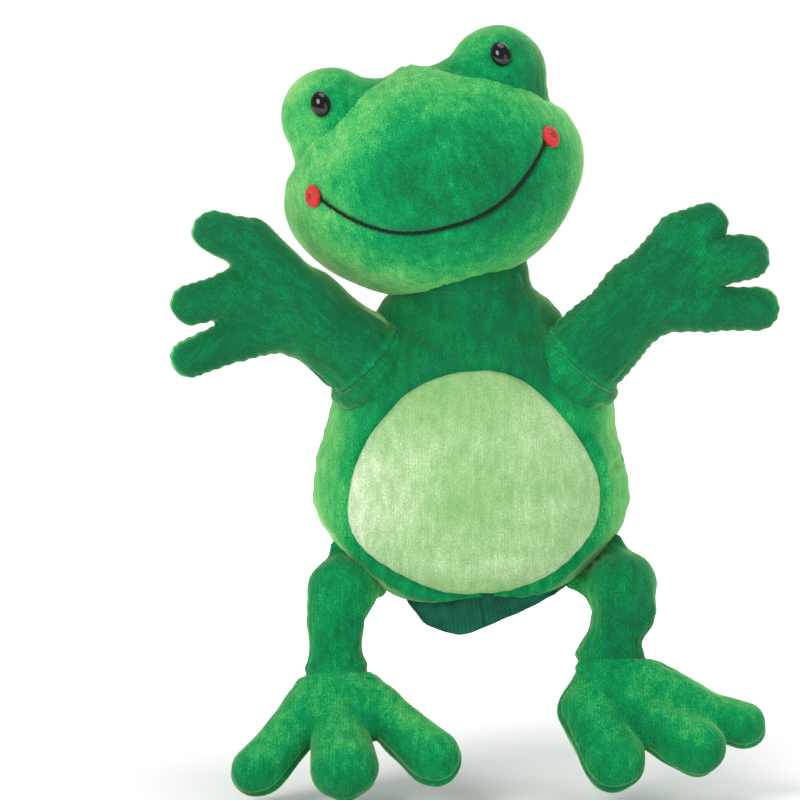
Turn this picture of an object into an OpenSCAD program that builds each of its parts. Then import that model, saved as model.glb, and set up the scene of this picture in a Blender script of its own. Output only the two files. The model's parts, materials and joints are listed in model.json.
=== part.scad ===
// Glove puppet of a frog: a lined velour glove body with a light belly panel, a stuffed
// head worn on one finger, two arms worn on fingers, and two stuffed dangling legs.
// Millimetres, +Z up, the puppet faces -Y and its own left side is +X.
// The origin is the centre of the round hand opening at the bottom of the lining.

/* [Body] */
// Widest width of the glove body
body_w = 125; // [118:1:132]
// Deepest depth of the glove body
body_d = 92; // [86:1:98]
// Thickness of the velour, seam allowance included
skin_t = 1.4; // [1.2:0.1:1.8]
// Width of the light belly panel
belly_w = 101; // [92:1:104]
// Height of the light belly panel
belly_h = 90; // [82:1:92]

/* [Hand opening] */
// Inner radius of the round lining cuff
cuff_r = 32; // [30:0.5:32]
// Length of the lining cuff
cuff_l = 20; // [14:1:22]
// Thickness of the knitted lining
lining_t = 0.8; // [0.6:0.1:1]

/* [Head] */
// Width of the head
head_w = 121; // [116:1:126]
// Depth of the head
head_d = 90; // [84:1:96]
// Height of the head without the eye mounds
head_h = 93; // [88:1:98]
// Lean of the head to its own right
head_roll = 14; // [8:1:16]
// Radius of an eye mound
mound_r = 19.5; // [18:0.5:21]
// Width of the oval safety eye
eye_w = 7; // [6:0.5:8]
// Height of the oval safety eye
eye_h = 9; // [8:0.5:10]
// Radius of the mouth thread
thread_r = 0.8; // [0.6:0.1:1]

/* [Joints] */
// Radius of the ball that the neck turns on
neck_r = 23; // [22:0.5:23.5]
// Radius of the ball that an arm turns on
shoulder_r = 21; // [20:0.5:21.5]
// Radius of a leg at the knee
knee_r = 11; // [10:0.5:11.5]
// Radius of a leg at the ankle
ankle_r = 10.5; // [10:0.5:11]
// Radius of the foot's end inside the ankle
foot_neck_r = 8.5; // [8:0.5:9]
// Gap between pieces that move against each other
gap = 0.6; // [0.4:0.1:0.8]
// Gap at a knee, which the leg's soft skin bridges
knee_gap = 2.4; // [2:0.2:3]
// Gap at an ankle, which the leg's soft skin bridges
ankle_gap = 4.6; // [4:0.2:5]

/* [Hidden] */

velour = "mediumseagreen";
velour_dark = "seagreen";
belly_green = "darkseagreen";
teal = "teal";
fibre = "whitesmoke";

left = 1;
right = -1;
big = 400;
loft_n = 24;
fit_gap = 0.2;
smooth = 96;
limb_n = 16;

// Body profile from the hem to the neck: height, share of body_w, share of body_d
body_profile = [
  [5, 0.56, 0.82], [8, 0.63, 0.88], [12, 0.71, 0.93], [18, 0.81, 0.97], [26, 0.91, 1],
  [38, 1, 1], [54, 0.98, 0.98], [72, 0.92, 0.92], [88, 0.85, 0.85], [102, 0.72, 0.76],
  [112, 0.58, 0.61], [120, 0.5, 0.53]
];
body_top = 116;
lining_foot = 13;
lining_top = 104;
belly_z = 51;
belly_taper = 0.25;
cuff_foot = -9;

// Neck and head
neck = [-3, 0, 121];
head_c = [-15, -2, 167];
head_up = [-sin(head_roll), 0, cos(head_roll)];
band_t = 1.6;
band_h = 28;
finger_r = 10;
tube_t = 1;
tube_start = neck_r + 3 * gap;
tube_end = 58;
mound_x = 35;
mound_y = -6;
mound_z = 34.5;
eye_look = [3.5, -17, 8];
stem_r = 1.5;
stem_l = 9;
washer_r = 6;
washer_t = 1.2;
washer_depth = 5;
mouth_w = 94;
mouth_drop = 25;
mouth_low = -18.5;
mouth_steps = 28;
corner_x = 47.5;
corner_z = 5.5;

// Shoulders, arms and hands; x is counted outwards from the middle
arm_root_r = 14.5;
wrist_r = 16.5;
knuckle_r = 10;
fingertip_r = 9.3;
belt_in = 10;
belt_out = 5;
arm_tube_r = 11;
function shoulder(s) = [s * 42, -12, 95];
function wrist(s) = s == right ? [-66, -20, 115] : [64, -20, 117];
function knuckles(s) = s == right
  ? [[-84, -25, 137], [-92, -26, 117], [-90, -25, 104]]
  : [[82, -25, 144], [91, -26, 132], [92, -25, 119]];
function fingertips(s) = s == right
  ? [[-104, -28, 148], [-110.5, -29, 118.5], [-110.5, -28, 98.5]]
  : [[92, -28, 149.5], [109, -29, 137], [112.5, -28, 116]];

// Hips, knees, ankles and toes
hip_r = 2.2;
thigh_r = 11;
hip_outer = [60, -12, 21.5];
hip_inner = [40, -14, 3.5];
function across(s, p) = [s * p[0], p[1], p[2]];
function thigh_mid(s) = s == right ? [-53, -16, 5] : [55, -16, 6];
function knee(s) = s == right ? [-55, -18, -5] : [60, -18, -4];
function ankle(s) = s == right ? [-53, -19, -27] : [55, -19, -21.5];
function toe_roots(s) = s == right
  ? [[-66, -26, -43], [-52, -28, -44], [-38, -26, -41]]
  : [[46, -28, -42], [65, -28, -44], [80, -28, -41]];
function toe_tips(s) = s == right
  ? [[-86.5, -36, -64.5], [-50.5, -40, -61], [-16, -42, -57]]
  : [[59, -40, -59], [89.5, -38, -55], [105.5, -32, -47]];
toe_root_r = 11;
function toe_tip_r(s) = s == right ? [10.5, 13, 11.5] : [12.5, 11.5, 10.5];

// ---- shared shapes ----

function oval(z, a, b) = [for (i = [0 : loft_n - 1])
  [a * cos(360 * i / loft_n), b * sin(360 * i / loft_n), z]];

// A closed solid through a stack of rings, each with the same number of points
module loft(rings, n) {
  last = len(rings) - 1;
  side = [for (j = [0 : last - 1], i = [0 : n - 1]) each [
    [j * n + i, (j + 1) * n + i, (j + 1) * n + (i + 1) % n],
    [j * n + i, (j + 1) * n + (i + 1) % n, j * n + (i + 1) % n]
  ]];
  bottom = [for (i = [0 : n - 1]) i];
  top = [for (i = [n - 1 : -1 : 0]) last * n + i];
  polyhedron(points = [for (r = rings) each r], faces = concat([bottom], side, [top]));
}

// Turns +Z to point from a towards b, and moves the origin to a
module aim(a, b) {
  v = b - a;
  translate(a) rotate([0, acos(v[2] / norm(v)), atan2(v[1], v[0])]) children();
}

module ball(p, r, n = smooth) {
  translate(p) sphere(r = r, $fn = n);
}

// The half space in front of (-1) or behind (1) the plane y = 0
module half(dir) {
  translate([-big / 2, dir > 0 ? 0 : -big, -big / 2]) cube(big);
}

// ---- glove body and its lining ----

module body_form(inset, foot, top) {
  mid = [for (p = body_profile) oval(p[0], p[1] * body_w / 2 - inset, p[2] * body_d / 2 - inset)];
  first = body_profile[0];
  final = body_profile[len(body_profile) - 1];
  below = oval(foot, first[1] * body_w / 2 - inset, first[2] * body_d / 2 - inset);
  above = oval(top, final[1] * body_w / 2 - inset, final[2] * body_d / 2 - inset);
  loft(concat(foot < first[0] ? [below] : [], mid, top > final[0] ? [above] : []), loft_n);
}

module belly_outline() {
  rotate([90, 0, 0]) linear_extrude(height = body_d)
    translate([0, belly_z])
      polygon([for (a = [0 : 10 : 350])
        [belly_w / 2 * cos(a) * (1 - belly_taper * sin(a)), belly_h / 2 * sin(a)]]);
}

module joint_holes(extra) {
  ball(neck, neck_r + gap + extra);
  for (s = [left, right]) ball(shoulder(s), shoulder_r + gap + extra);
}

module body_half(dir) {
  difference() {
    intersection() {
      body_form(0, 5, body_top);
      half(dir);
    }
    body_form(skin_t, 0, body_top + 10);
    joint_holes(0);
    translate([-big / 2, -big / 2, body_top]) cube(big);
  }
}

module body_front() {
  color(velour) difference() {
    body_half(-1);
    belly_outline();
  }
}

module body_back() {
  color(velour_dark) body_half(1);
}

module belly_patch() {
  color(belly_green) intersection() {
    body_half(-1);
    belly_outline();
  }
}

module hand_lining_cuff() {
  color(teal) translate([0, 0, cuff_foot]) difference() {
    cylinder(h = cuff_l, r = cuff_r + lining_t, $fn = smooth);
    translate([0, 0, -1]) cylinder(h = cuff_l + 2, r = cuff_r, $fn = smooth);
  }
}

module lining_half(dir) {
  color(teal) difference() {
    intersection() {
      body_form(skin_t + fit_gap, 0, body_top);
      half(dir);
      translate([-big / 2, -big / 2, lining_foot]) cube([big, big, lining_top - lining_foot]);
    }
    body_form(skin_t + fit_gap + lining_t, 0, body_top);
    joint_holes(1);
  }
}

module hand_lining_front() { lining_half(-1); }

module hand_lining_back() { lining_half(1); }

// ---- neck ----

module ball_belt(r, t, low, high) {
  difference() {
    intersection() {
      sphere(r = r, $fn = smooth);
      translate([0, 0, low]) cylinder(h = high - low, r = r + 1, $fn = smooth);
    }
    sphere(r = r - t, $fn = smooth);
  }
}

module neck_band() {
  color(velour_dark) translate(neck) ball_belt(neck_r, band_t, -band_h / 2, band_h / 2);
}

module neck_lining() {
  color(teal) translate(neck)
    ball_belt(neck_r - band_t - gap, lining_t, -band_h / 2 + 2, band_h / 2 - 2);
}

// ---- head ----

module head_frame() {
  translate(head_c) rotate([0, -head_roll, 0]) children();
}

module head_form(inset) {
  loft([for (a = [-78 : 12 : 78])
    oval((head_h / 2 - inset) * sin(a) / sin(78),
      (head_w / 2 - inset) * cos(a), (head_d / 2 - inset) * cos(a))], loft_n);
}

module neck_socket() {
  ball(neck, neck_r + 2 * gap);
}

module mound_at(s) {
  translate([s * mound_x, mound_y, mound_z]) children();
}

// Looks along the eye's axis from the middle of its mound
module eye_axis(s) {
  aim([s * mound_x, mound_y, mound_z],
    [s * (mound_x + eye_look[0]), mound_y + eye_look[1], mound_z + eye_look[2]]) children();
}

module head_half(dir) {
  color(dir < 0 ? velour : velour_dark) difference() {
    head_frame() difference() {
      intersection() {
        head_form(0);
        half(dir);
      }
      head_form(skin_t);
      for (s = [left, right]) mound_at(s) sphere(r = mound_r - skin_t, $fn = smooth);
    }
    neck_socket();
  }
}

module head_front() { head_half(-1); }

module head_back() { head_half(1); }

module eye_mound(s) {
  color(velour_dark) head_frame() difference() {
    mound_at(s) sphere(r = mound_r, $fn = smooth);
    mound_at(s) sphere(r = mound_r - skin_t, $fn = smooth);
    head_form(-fit_gap / 2);
    eye_axis(s) cylinder(h = mound_r + 2, r = stem_r + fit_gap, $fn = smooth);
  }
}

module eye(s) {
  color("black") head_frame() eye_axis(s) {
    hull() for (i = [-1, 1]) translate([i * (eye_h - eye_w) / 2, 0, mound_r + 0.1])
      rotate_extrude($fn = 32) intersection() {
        circle(r = eye_w / 2, $fn = 32);
        square(eye_w);
      }
    translate([0, 0, mound_r - stem_l]) cylinder(h = stem_l + 0.5, r = stem_r, $fn = smooth);
  }
}

module eye_washer(s) {
  color("white") head_frame() eye_axis(s)
    translate([0, 0, mound_r - washer_depth]) difference() {
      cylinder(h = washer_t, r = washer_r, $fn = smooth);
      translate([0, 0, -1]) cylinder(h = washer_t + 2, r = stem_r + 0.05, $fn = smooth);
    }
}

module head_finger_tube() {
  color(teal) aim(neck, neck + head_up) translate([0, 0, tube_start]) difference() {
    cylinder(h = tube_end - tube_start, r = finger_r + tube_t, $fn = smooth);
    translate([0, 0, -1])
      cylinder(h = tube_end - tube_start + 1 - tube_t, r = finger_r, $fn = smooth);
  }
}

module head_stuffing() {
  color(fibre) difference() {
    head_frame() difference() {
      union() {
        head_form(skin_t + fit_gap);
        for (s = [left, right]) mound_at(s)
          sphere(r = mound_r - skin_t - fit_gap, $fn = 48);
      }
      for (s = [left, right]) eye_axis(s) {
        translate([0, 0, mound_r - stem_l - 1]) cylinder(h = stem_l + 2, r = stem_r + fit_gap, $fn = 32);
        translate([0, 0, mound_r - washer_depth - fit_gap])
          cylinder(h = washer_t + 2 * fit_gap, r = washer_r + fit_gap, $fn = 32);
      }
    }
    ball(neck, neck_r + 3 * gap);
    aim(neck, neck + head_up)
      cylinder(h = tube_end + fit_gap, r = finger_r + tube_t + fit_gap, $fn = smooth);
  }
}

// A point on the face, at width x and height z of the head's own frame
function on_face(x, z, lift) = let (
    a = head_w / 2, b = head_d / 2, c = head_h / 2,
    y = -b * sqrt(1 - pow(x / a, 2) - pow(z / c, 2)),
    n = [x / (a * a), y / (b * b), z / (c * c)]
  ) [x, y, z] + lift * n / norm(n);

function mouth_point(i) = let (x = mouth_w / 2 * (2 * i / mouth_steps - 1) * 0.95)
  on_face(x, mouth_low + mouth_drop * pow(abs(2 * x / mouth_w), 2.5), thread_r + 0.1);

module mouth_stitching() {
  path = [for (i = [0 : mouth_steps]) mouth_point(i)];
  rings = [for (i = [0 : mouth_steps]) let (
      t = path[min(i + 1, mouth_steps)] - path[max(i - 1, 0)],
      u = cross(t, [0, 0, 1]) / norm(cross(t, [0, 0, 1])),
      v = cross(u, t) / norm(cross(u, t))
    ) [for (k = [0 : 7]) path[i] + thread_r * (cos(45 * k) * v + sin(45 * k) * u)]];
  color("black") head_frame() loft(rings, 8);
}

module mouth_corner(s) {
  color("red") head_frame()
    aim(on_face(s * corner_x, corner_z, 1.5), on_face(s * corner_x, corner_z, 3))
      rotate_extrude($fn = 48) translate([2.5, 0]) circle(r = 1.3, $fn = 24);
}

// ---- arms ----

module arm_form(s, inset) {
  hull() {
    ball(shoulder(s), arm_root_r - inset, limb_n);
    ball(wrist(s), wrist_r - inset, limb_n);
  }
  hull() {
    ball(wrist(s), wrist_r - inset, limb_n);
    for (p = knuckles(s)) ball(p, knuckle_r - inset, limb_n);
  }
  for (i = [0 : 2]) hull() {
    ball(knuckles(s)[i], knuckle_r - inset, limb_n);
    ball(fingertips(s)[i], fingertip_r - inset, limb_n);
  }
}

// Everything further out along the arm than t from the shoulder
module beyond(s, t) {
  aim(shoulder(s), wrist(s)) translate([-big / 2, -big / 2, t]) cube(big);
}

module arm_half(s, dir) {
  color(dir < 0 ? velour : velour_dark) intersection() {
    difference() {
      arm_form(s, 0);
      arm_form(s, skin_t);
    }
    beyond(s, -2);
    aim_plane(s, dir);
  }
}

// The half of space in front of or behind the arm's own middle surface
module aim_plane(s, dir) {
  v = wrist(s) - shoulder(s);
  translate(shoulder(s)) rotate([0, 0, atan2(v[1], abs(v[0])) * s])
    translate([-big / 2, dir > 0 ? 0 : -big, -big / 2]) cube(big);
}

module sleeve(s) {
  color(velour_dark) aim(shoulder(s), wrist(s))
    ball_belt(shoulder_r, band_t, -belt_in, belt_out);
}

function arm_length(s) = norm(wrist(s) - shoulder(s));

module hand_stuffing(s) {
  color(fibre) intersection() {
    arm_form(s, skin_t + fit_gap);
    beyond(s, arm_length(s) + 1);
  }
}

module arm_finger_tube(s) {
  color(teal) aim(shoulder(s), wrist(s)) difference() {
    cylinder(h = arm_length(s), r = arm_tube_r, $fn = smooth);
    translate([0, 0, -1]) cylinder(h = arm_length(s) + 1 - tube_t, r = arm_tube_r - tube_t, $fn = smooth);
  }
}

// ---- legs ----

module thigh_form(s, inset) {
  hull() {
    ball(across(s, hip_outer), hip_r - min(inset, hip_r - 0.4), limb_n);
    ball(across(s, hip_inner), hip_r - min(inset, hip_r - 0.4), limb_n);
    ball(thigh_mid(s), thigh_r - inset, limb_n);
  }
}

module thigh_skin(s) {
  color(velour) difference() {
    thigh_form(s, 0);
    thigh_form(s, skin_t);
    ball(knee(s), knee_r + knee_gap, limb_n);
  }
}

module thigh_stuffing(s) {
  color(fibre) difference() {
    thigh_form(s, skin_t + fit_gap);
    ball(knee(s), knee_r + knee_gap + fit_gap, limb_n);
  }
}

module shin_form(s, inset) {
  hull() {
    ball(knee(s), knee_r - inset, limb_n);
    ball(ankle(s), ankle_r - inset, limb_n);
  }
}

module shin_skin(s) {
  color(velour) difference() {
    shin_form(s, 0);
    shin_form(s, skin_t);
    ball(ankle(s), foot_neck_r + ankle_gap, limb_n);
  }
}

module shin_stuffing(s) {
  color(fibre) difference() {
    shin_form(s, skin_t + fit_gap);
    ball(ankle(s), foot_neck_r + ankle_gap + fit_gap, limb_n);
  }
}

module foot_form(s, inset) {
  hull() {
    ball(ankle(s), foot_neck_r - inset, limb_n);
    for (p = toe_roots(s)) ball(p, toe_root_r - inset, limb_n);
  }
  for (i = [0 : 2]) hull() {
    ball(toe_roots(s)[i], toe_root_r - inset, limb_n);
    ball(toe_tips(s)[i], toe_tip_r(s)[i] - inset, limb_n);
  }
}

module foot_half(s, dir) {
  tilt = atan2(toe_tips(s)[1][1] - ankle(s)[1], toe_tips(s)[1][2] - ankle(s)[2]);
  color(dir < 0 ? velour : velour_dark) intersection() {
    difference() {
      foot_form(s, 0);
      foot_form(s, skin_t);
    }
    translate(ankle(s)) rotate([-tilt, 0, 0]) rotate([180, 0, 0])
      translate([-big / 2, dir > 0 ? 0 : -big, -big / 2]) cube(big);
  }
}

module foot_stuffing(s) {
  color(fibre) foot_form(s, skin_t + fit_gap);
}

body_front();
body_back();
belly_patch();
hand_lining_cuff();
hand_lining_front();
hand_lining_back();
neck_band();
neck_lining();
head_front();
head_back();
head_stuffing();
head_finger_tube();
eye_mound(left);  // eye_mound_left
eye_mound(right);  // eye_mound_right
eye(left);  // eye_left
eye(right);  // eye_right
eye_washer(left);  // eye_washer_left
eye_washer(right);  // eye_washer_right
mouth_corner(left);  // mouth_corner_left
mouth_corner(right);  // mouth_corner_right
mouth_stitching();
sleeve(left);  // sleeve_left
sleeve(right);  // sleeve_right
arm_half(left, -1);  // arm_front_left
arm_half(right, -1);  // arm_front_right
arm_half(left, 1);  // arm_back_left
arm_half(right, 1);  // arm_back_right
hand_stuffing(left);  // hand_stuffing_left
hand_stuffing(right);  // hand_stuffing_right
arm_finger_tube(left);  // arm_finger_tube_left
arm_finger_tube(right);  // arm_finger_tube_right
thigh_skin(left);  // thigh_skin_left
thigh_skin(right);  // thigh_skin_right
thigh_stuffing(left);  // thigh_stuffing_left
thigh_stuffing(right);  // thigh_stuffing_right
shin_skin(left);  // shin_skin_left
shin_skin(right);  // shin_skin_right
shin_stuffing(left);  // shin_stuffing_left
shin_stuffing(right);  // shin_stuffing_right
foot_half(left, -1);  // foot_top_left
foot_half(right, -1);  // foot_top_right
foot_half(left, 1);  // foot_sole_left
foot_half(right, 1);  // foot_sole_right
foot_stuffing(left);  // foot_stuffing_left
foot_stuffing(right);  // foot_stuffing_right
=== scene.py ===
"""Looks of a frog hand puppet in short-pile velour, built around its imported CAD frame.

Shapes are in millimetres.
"""

import json
import math

import bpy
import numpy as np
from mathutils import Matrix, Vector


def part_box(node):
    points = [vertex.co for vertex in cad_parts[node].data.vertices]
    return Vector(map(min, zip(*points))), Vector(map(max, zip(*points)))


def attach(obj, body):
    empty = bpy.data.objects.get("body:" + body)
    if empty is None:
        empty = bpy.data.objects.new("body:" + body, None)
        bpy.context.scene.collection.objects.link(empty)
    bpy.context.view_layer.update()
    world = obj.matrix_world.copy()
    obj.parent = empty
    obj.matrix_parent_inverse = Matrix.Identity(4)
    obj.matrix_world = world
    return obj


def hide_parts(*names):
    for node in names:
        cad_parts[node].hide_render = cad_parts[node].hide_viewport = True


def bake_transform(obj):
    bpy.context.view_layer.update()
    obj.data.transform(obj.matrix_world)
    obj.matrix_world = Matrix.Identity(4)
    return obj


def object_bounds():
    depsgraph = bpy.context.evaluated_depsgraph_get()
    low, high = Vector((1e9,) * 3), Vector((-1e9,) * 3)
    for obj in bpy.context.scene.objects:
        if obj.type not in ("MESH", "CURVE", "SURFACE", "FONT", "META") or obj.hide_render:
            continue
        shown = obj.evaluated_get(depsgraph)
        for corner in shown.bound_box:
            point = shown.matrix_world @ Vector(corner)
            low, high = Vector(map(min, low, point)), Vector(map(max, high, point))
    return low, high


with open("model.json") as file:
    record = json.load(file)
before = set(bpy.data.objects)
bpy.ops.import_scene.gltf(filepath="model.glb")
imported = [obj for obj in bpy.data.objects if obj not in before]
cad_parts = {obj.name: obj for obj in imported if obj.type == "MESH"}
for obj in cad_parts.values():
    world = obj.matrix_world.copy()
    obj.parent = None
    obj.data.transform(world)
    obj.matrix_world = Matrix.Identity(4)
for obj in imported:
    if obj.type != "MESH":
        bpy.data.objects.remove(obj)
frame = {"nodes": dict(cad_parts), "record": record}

CAD_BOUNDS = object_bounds()
SCENE = bpy.context.scene
MM = 0.001
SIDES = {"left": 1, "right": -1}


# ---- where the pieces are, from the frame ----


def joint(name):
    """A joint's centre in millimetres."""
    row = next(j for j in frame["record"]["behaviour"]["joints"] if j["name"] == name)
    return np.array(row["pos_m"], float) / MM


def joint_axis(name):
    row = next(j for j in frame["record"]["behaviour"]["joints"] if j["name"] == name)
    axis = np.array(row["axis"], float)
    return axis / np.linalg.norm(axis)


def box(*nodes):
    """The lowest and highest corners of the named CAD nodes together, in millimetres."""
    corners = [np.array(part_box(n), float) / MM for n in nodes]
    return np.min([c[0] for c in corners], 0), np.max([c[1] for c in corners], 0)


NECK = joint("head_turn")
HEAD_UP = joint_axis("head_turn")
HEAD_AXES = np.array([[HEAD_UP[2], 0, -HEAD_UP[0]], [0, 1, 0], HEAD_UP])  # left, back, up
HEAD = NECK + (-12, -2, 46)
BODY_LOW, BODY_HIGH = box("body_front", "body_back")
BODY_W = (BODY_HIGH[0] - BODY_LOW[0]) / 2
BODY_D = (BODY_HIGH[1] - BODY_LOW[1]) / 2
BELLY_LOW, BELLY_HIGH = box("belly_patch")

# ---- shape values ----

HEAD_SIZE = np.array([60.5, 45.0, 46.5])  # half width, half depth, half height
CHEEK_SLOPE = 0.05  # how much flatter the head is between its sides and its chin
MOUND_PLACE = (34.0, -6, 34.9)
MOUND_R = 19.4
MOUND_FILLET = 7.0
MOUND_SEAM = (0.505, 0.863, 43.6)  # the seam's slope across and up the head, and how far out it lies
EYE_LOOK = {1: (2.4, -17, 6.6), -1: (1.9, -17, 4.6)}  # which way each eye looks from its mound
EYE_SIZE = (3.9, 3.0, 5.1)
MOUTH_HALF = 47
MOUTH_LOW = -18.5
MOUTH_RISE = 25
DOT_PLACE = (47.5, 6)
NECK_R = 26.5
WRIST_R = {"right": 15.4, "left": 14.4}
OVERLAP = 2.0  # how far two pieces of a leg go into each other at their seam
SHOULDER_R = 19.6
ARMHOLE_R = 29.0  # how far the lining keeps from the middle of a shoulder

# Height of each ring of the body, and its share of the body's half width and half depth
BODY_RINGS = np.array(
    [
        [4, 0.55, 0.81],
        [8, 0.63, 0.88],
        [12, 0.71, 0.93],
        [18, 0.81, 0.97],
        [26, 0.91, 1.0],
        [38, 1.0, 1.0],
        [54, 0.98, 0.98],
        [72, 0.92, 0.92],
        [88, 0.85, 0.85],
        [102, 0.72, 0.76],
        [111, 0.62, 0.64],
        [118, 0.555, 0.60],
        [125, 0.44, 0.56],
        [133, 0.41, 0.53],
        [139, 0.38, 0.48],
    ]
)

# Points of a hand from its shoulder joint, and of a leg from its knee joint, one set a side
HANDS = {
    "right": {
        "wrist": (-24, -8, 20.9),
        "lift": (1.2, 0, 1.5),
        "knuckles": [(-45.6, -13, 47.6), (-52, -14, 28), (-49.5, -13, 11.4)],
        "knuckle_r": (9.5, 9.2, 8.7),
        "tips": [(-59.4, -16, 52.4), (-67.8, -17, 24.3), (-68.6, -16, 3.2)],
        "tip_r": (8.0, 8.4, 8.0),
    },
    "left": {
        "wrist": (23.5, -8, 26.5),
        "lift": (-0.6, 0, 0.8),
        "knuckles": [(37.6, -13, 50), (48.4, -14, 40.6), (49.4, -13, 22.6)],
        "knuckle_r": (9.2, 9.6, 8.2),
        "tips": [(49.3, -16, 56.2), (64.4, -17, 42.8), (68.2, -16, 22.8)],
        "tip_r": (7.4, 8.9, 8.5),
    },
}
LEGS = {
    "right": {
        "hip": [(1, 8, 27), (8, 8, 20), (14, 8, 14), (17.5, 7, 10.5)],
        "thigh": (3.5, 2, 11.5),
        "thigh_r": 12.3,
        "bend": (1, 0, 1),
        "bend_r": 11.0,
        "ankle": (1.2, -1, -22),
        "roots": [(-10.4, -8, -37.5), (3, -9, -38), (17, -9, -35.4)],
        "root_r": (9.4, 10.4, 9.4),
        "tips": [(-29, -18, -57.6), (4.5, -26, -55.3), (39.6, -24, -51.4)],
        "tip_r": (10.6, 13.0, 11.0),
    },
    "left": {
        "hip": [(-3, 8, 29), (-9, 8, 21), (-16, 8, 15), (-20.5, 7, 11.5)],
        "thigh": (-1.5, 2, 11.5),
        "thigh_r": 13.4,
        "bend": (0, 0, 2),
        "bend_r": 12.2,
        "ankle": (-6, -1, -17.5),
        "roots": [(-15.2, -10, -37), (5, -10, -37), (22, -10, -34.6)],
        "root_r": (11.8, 11.2, 10.0),
        "tips": [(-6, -22, -53.8), (26.2, -22, -48.8), (44.2, -14, -41.7)],
        "tip_r": (12.6, 11.6, 9.4),
    },
}


# ---- camera, light, floor ----

VIEW_MIDDLE = Vector((-0.0288, 0, 0.080))
VIEW_WIDTH = 0.320
VIEW_RISE = math.radians(4)
VIEW_FAR = 1.2
WORLD_LIGHT = 0.36
FLOOR_FADE = (0.12, 0.55)  # metres from the middle at which the floor starts to glow and is full white


def add_camera():
    data = bpy.data.cameras.new("camera")
    data.sensor_width = 36
    data.lens = data.sensor_width * VIEW_FAR / VIEW_WIDTH
    camera = bpy.data.objects.new("camera", data)
    away = Vector((0, -math.cos(VIEW_RISE), math.sin(VIEW_RISE)))
    camera.location = VIEW_MIDDLE + away * VIEW_FAR
    camera.rotation_euler = (-away).to_track_quat("-Z", "Y").to_euler()
    SCENE.collection.objects.link(camera)
    SCENE.camera = camera


def add_light(name, place, size, watts, colour=(1, 1, 1)):
    data = bpy.data.lights.new(name, "AREA")
    data.shape = "DISK"
    data.size = size
    data.energy = watts
    data.color = colour
    light = bpy.data.objects.new(name, data)
    light.location = place
    light.rotation_euler = (VIEW_MIDDLE - light.location).to_track_quat("-Z", "Y").to_euler()
    SCENE.collection.objects.link(light)


def floor_material():
    """Matt white under the feet, which brightens with distance until it meets the white behind it."""
    material = plain_material("floor_white", (0.95, 0.95, 0.95), 0.9)
    tree = material.node_tree
    shade = tree.nodes["Principled BSDF"]
    place = tree.nodes.new("ShaderNodeTexCoord")
    far = tree.nodes.new("ShaderNodeVectorMath")
    far.operation = "LENGTH"
    glow = tree.nodes.new("ShaderNodeMapRange")
    glow.inputs["From Min"].default_value = FLOOR_FADE[0]
    glow.inputs["From Max"].default_value = FLOOR_FADE[1]
    tree.links.new(place.outputs["Object"], far.inputs[0])
    tree.links.new(far.outputs["Value"], glow.inputs["Value"])
    tree.links.new(glow.outputs["Result"], shade.inputs["Emission Strength"])
    shade.inputs["Emission Color"].default_value = (1, 1, 1, 1)
    return material


def add_floor():
    """A plain pale floor under the feet."""
    low = CAD_BOUNDS[0][2] - 0.003
    points = [(x, y, low) for y in (-2.5, 6.0) for x in (-4.0, 4.0)]
    mesh = bpy.data.meshes.new("floor")
    mesh.from_pydata(points, [], [(0, 1, 3, 2)])
    mesh.materials.append(floor_material())
    floor = bpy.data.objects.new("floor", mesh)
    SCENE.collection.objects.link(floor)


def add_world():
    """White studio surroundings: full white behind the object, and softer as light on it."""
    world = bpy.data.worlds.new("studio")
    world.use_nodes = True
    tree = world.node_tree
    shade = tree.nodes["Background"]
    seen = tree.nodes.new("ShaderNodeLightPath")
    level = tree.nodes.new("ShaderNodeMix")
    level.inputs[2].default_value = WORLD_LIGHT
    level.inputs[3].default_value = 1.05
    tree.links.new(seen.outputs["Is Camera Ray"], level.inputs[0])
    tree.links.new(level.outputs[0], shade.inputs["Strength"])
    shade.inputs["Color"].default_value = (1, 1, 1, 1)
    SCENE.world = world


# ---- materials ----


def linear(*levels):
    """A colour given in 0 to 255 screen levels, as the linear numbers that shaders use."""
    out = []
    for level in levels:
        c = level / 255
        out.append(c / 12.92 if c <= 0.04045 else ((c + 0.055) / 1.055) ** 2.4)
    return (*out, 1.0)


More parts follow.
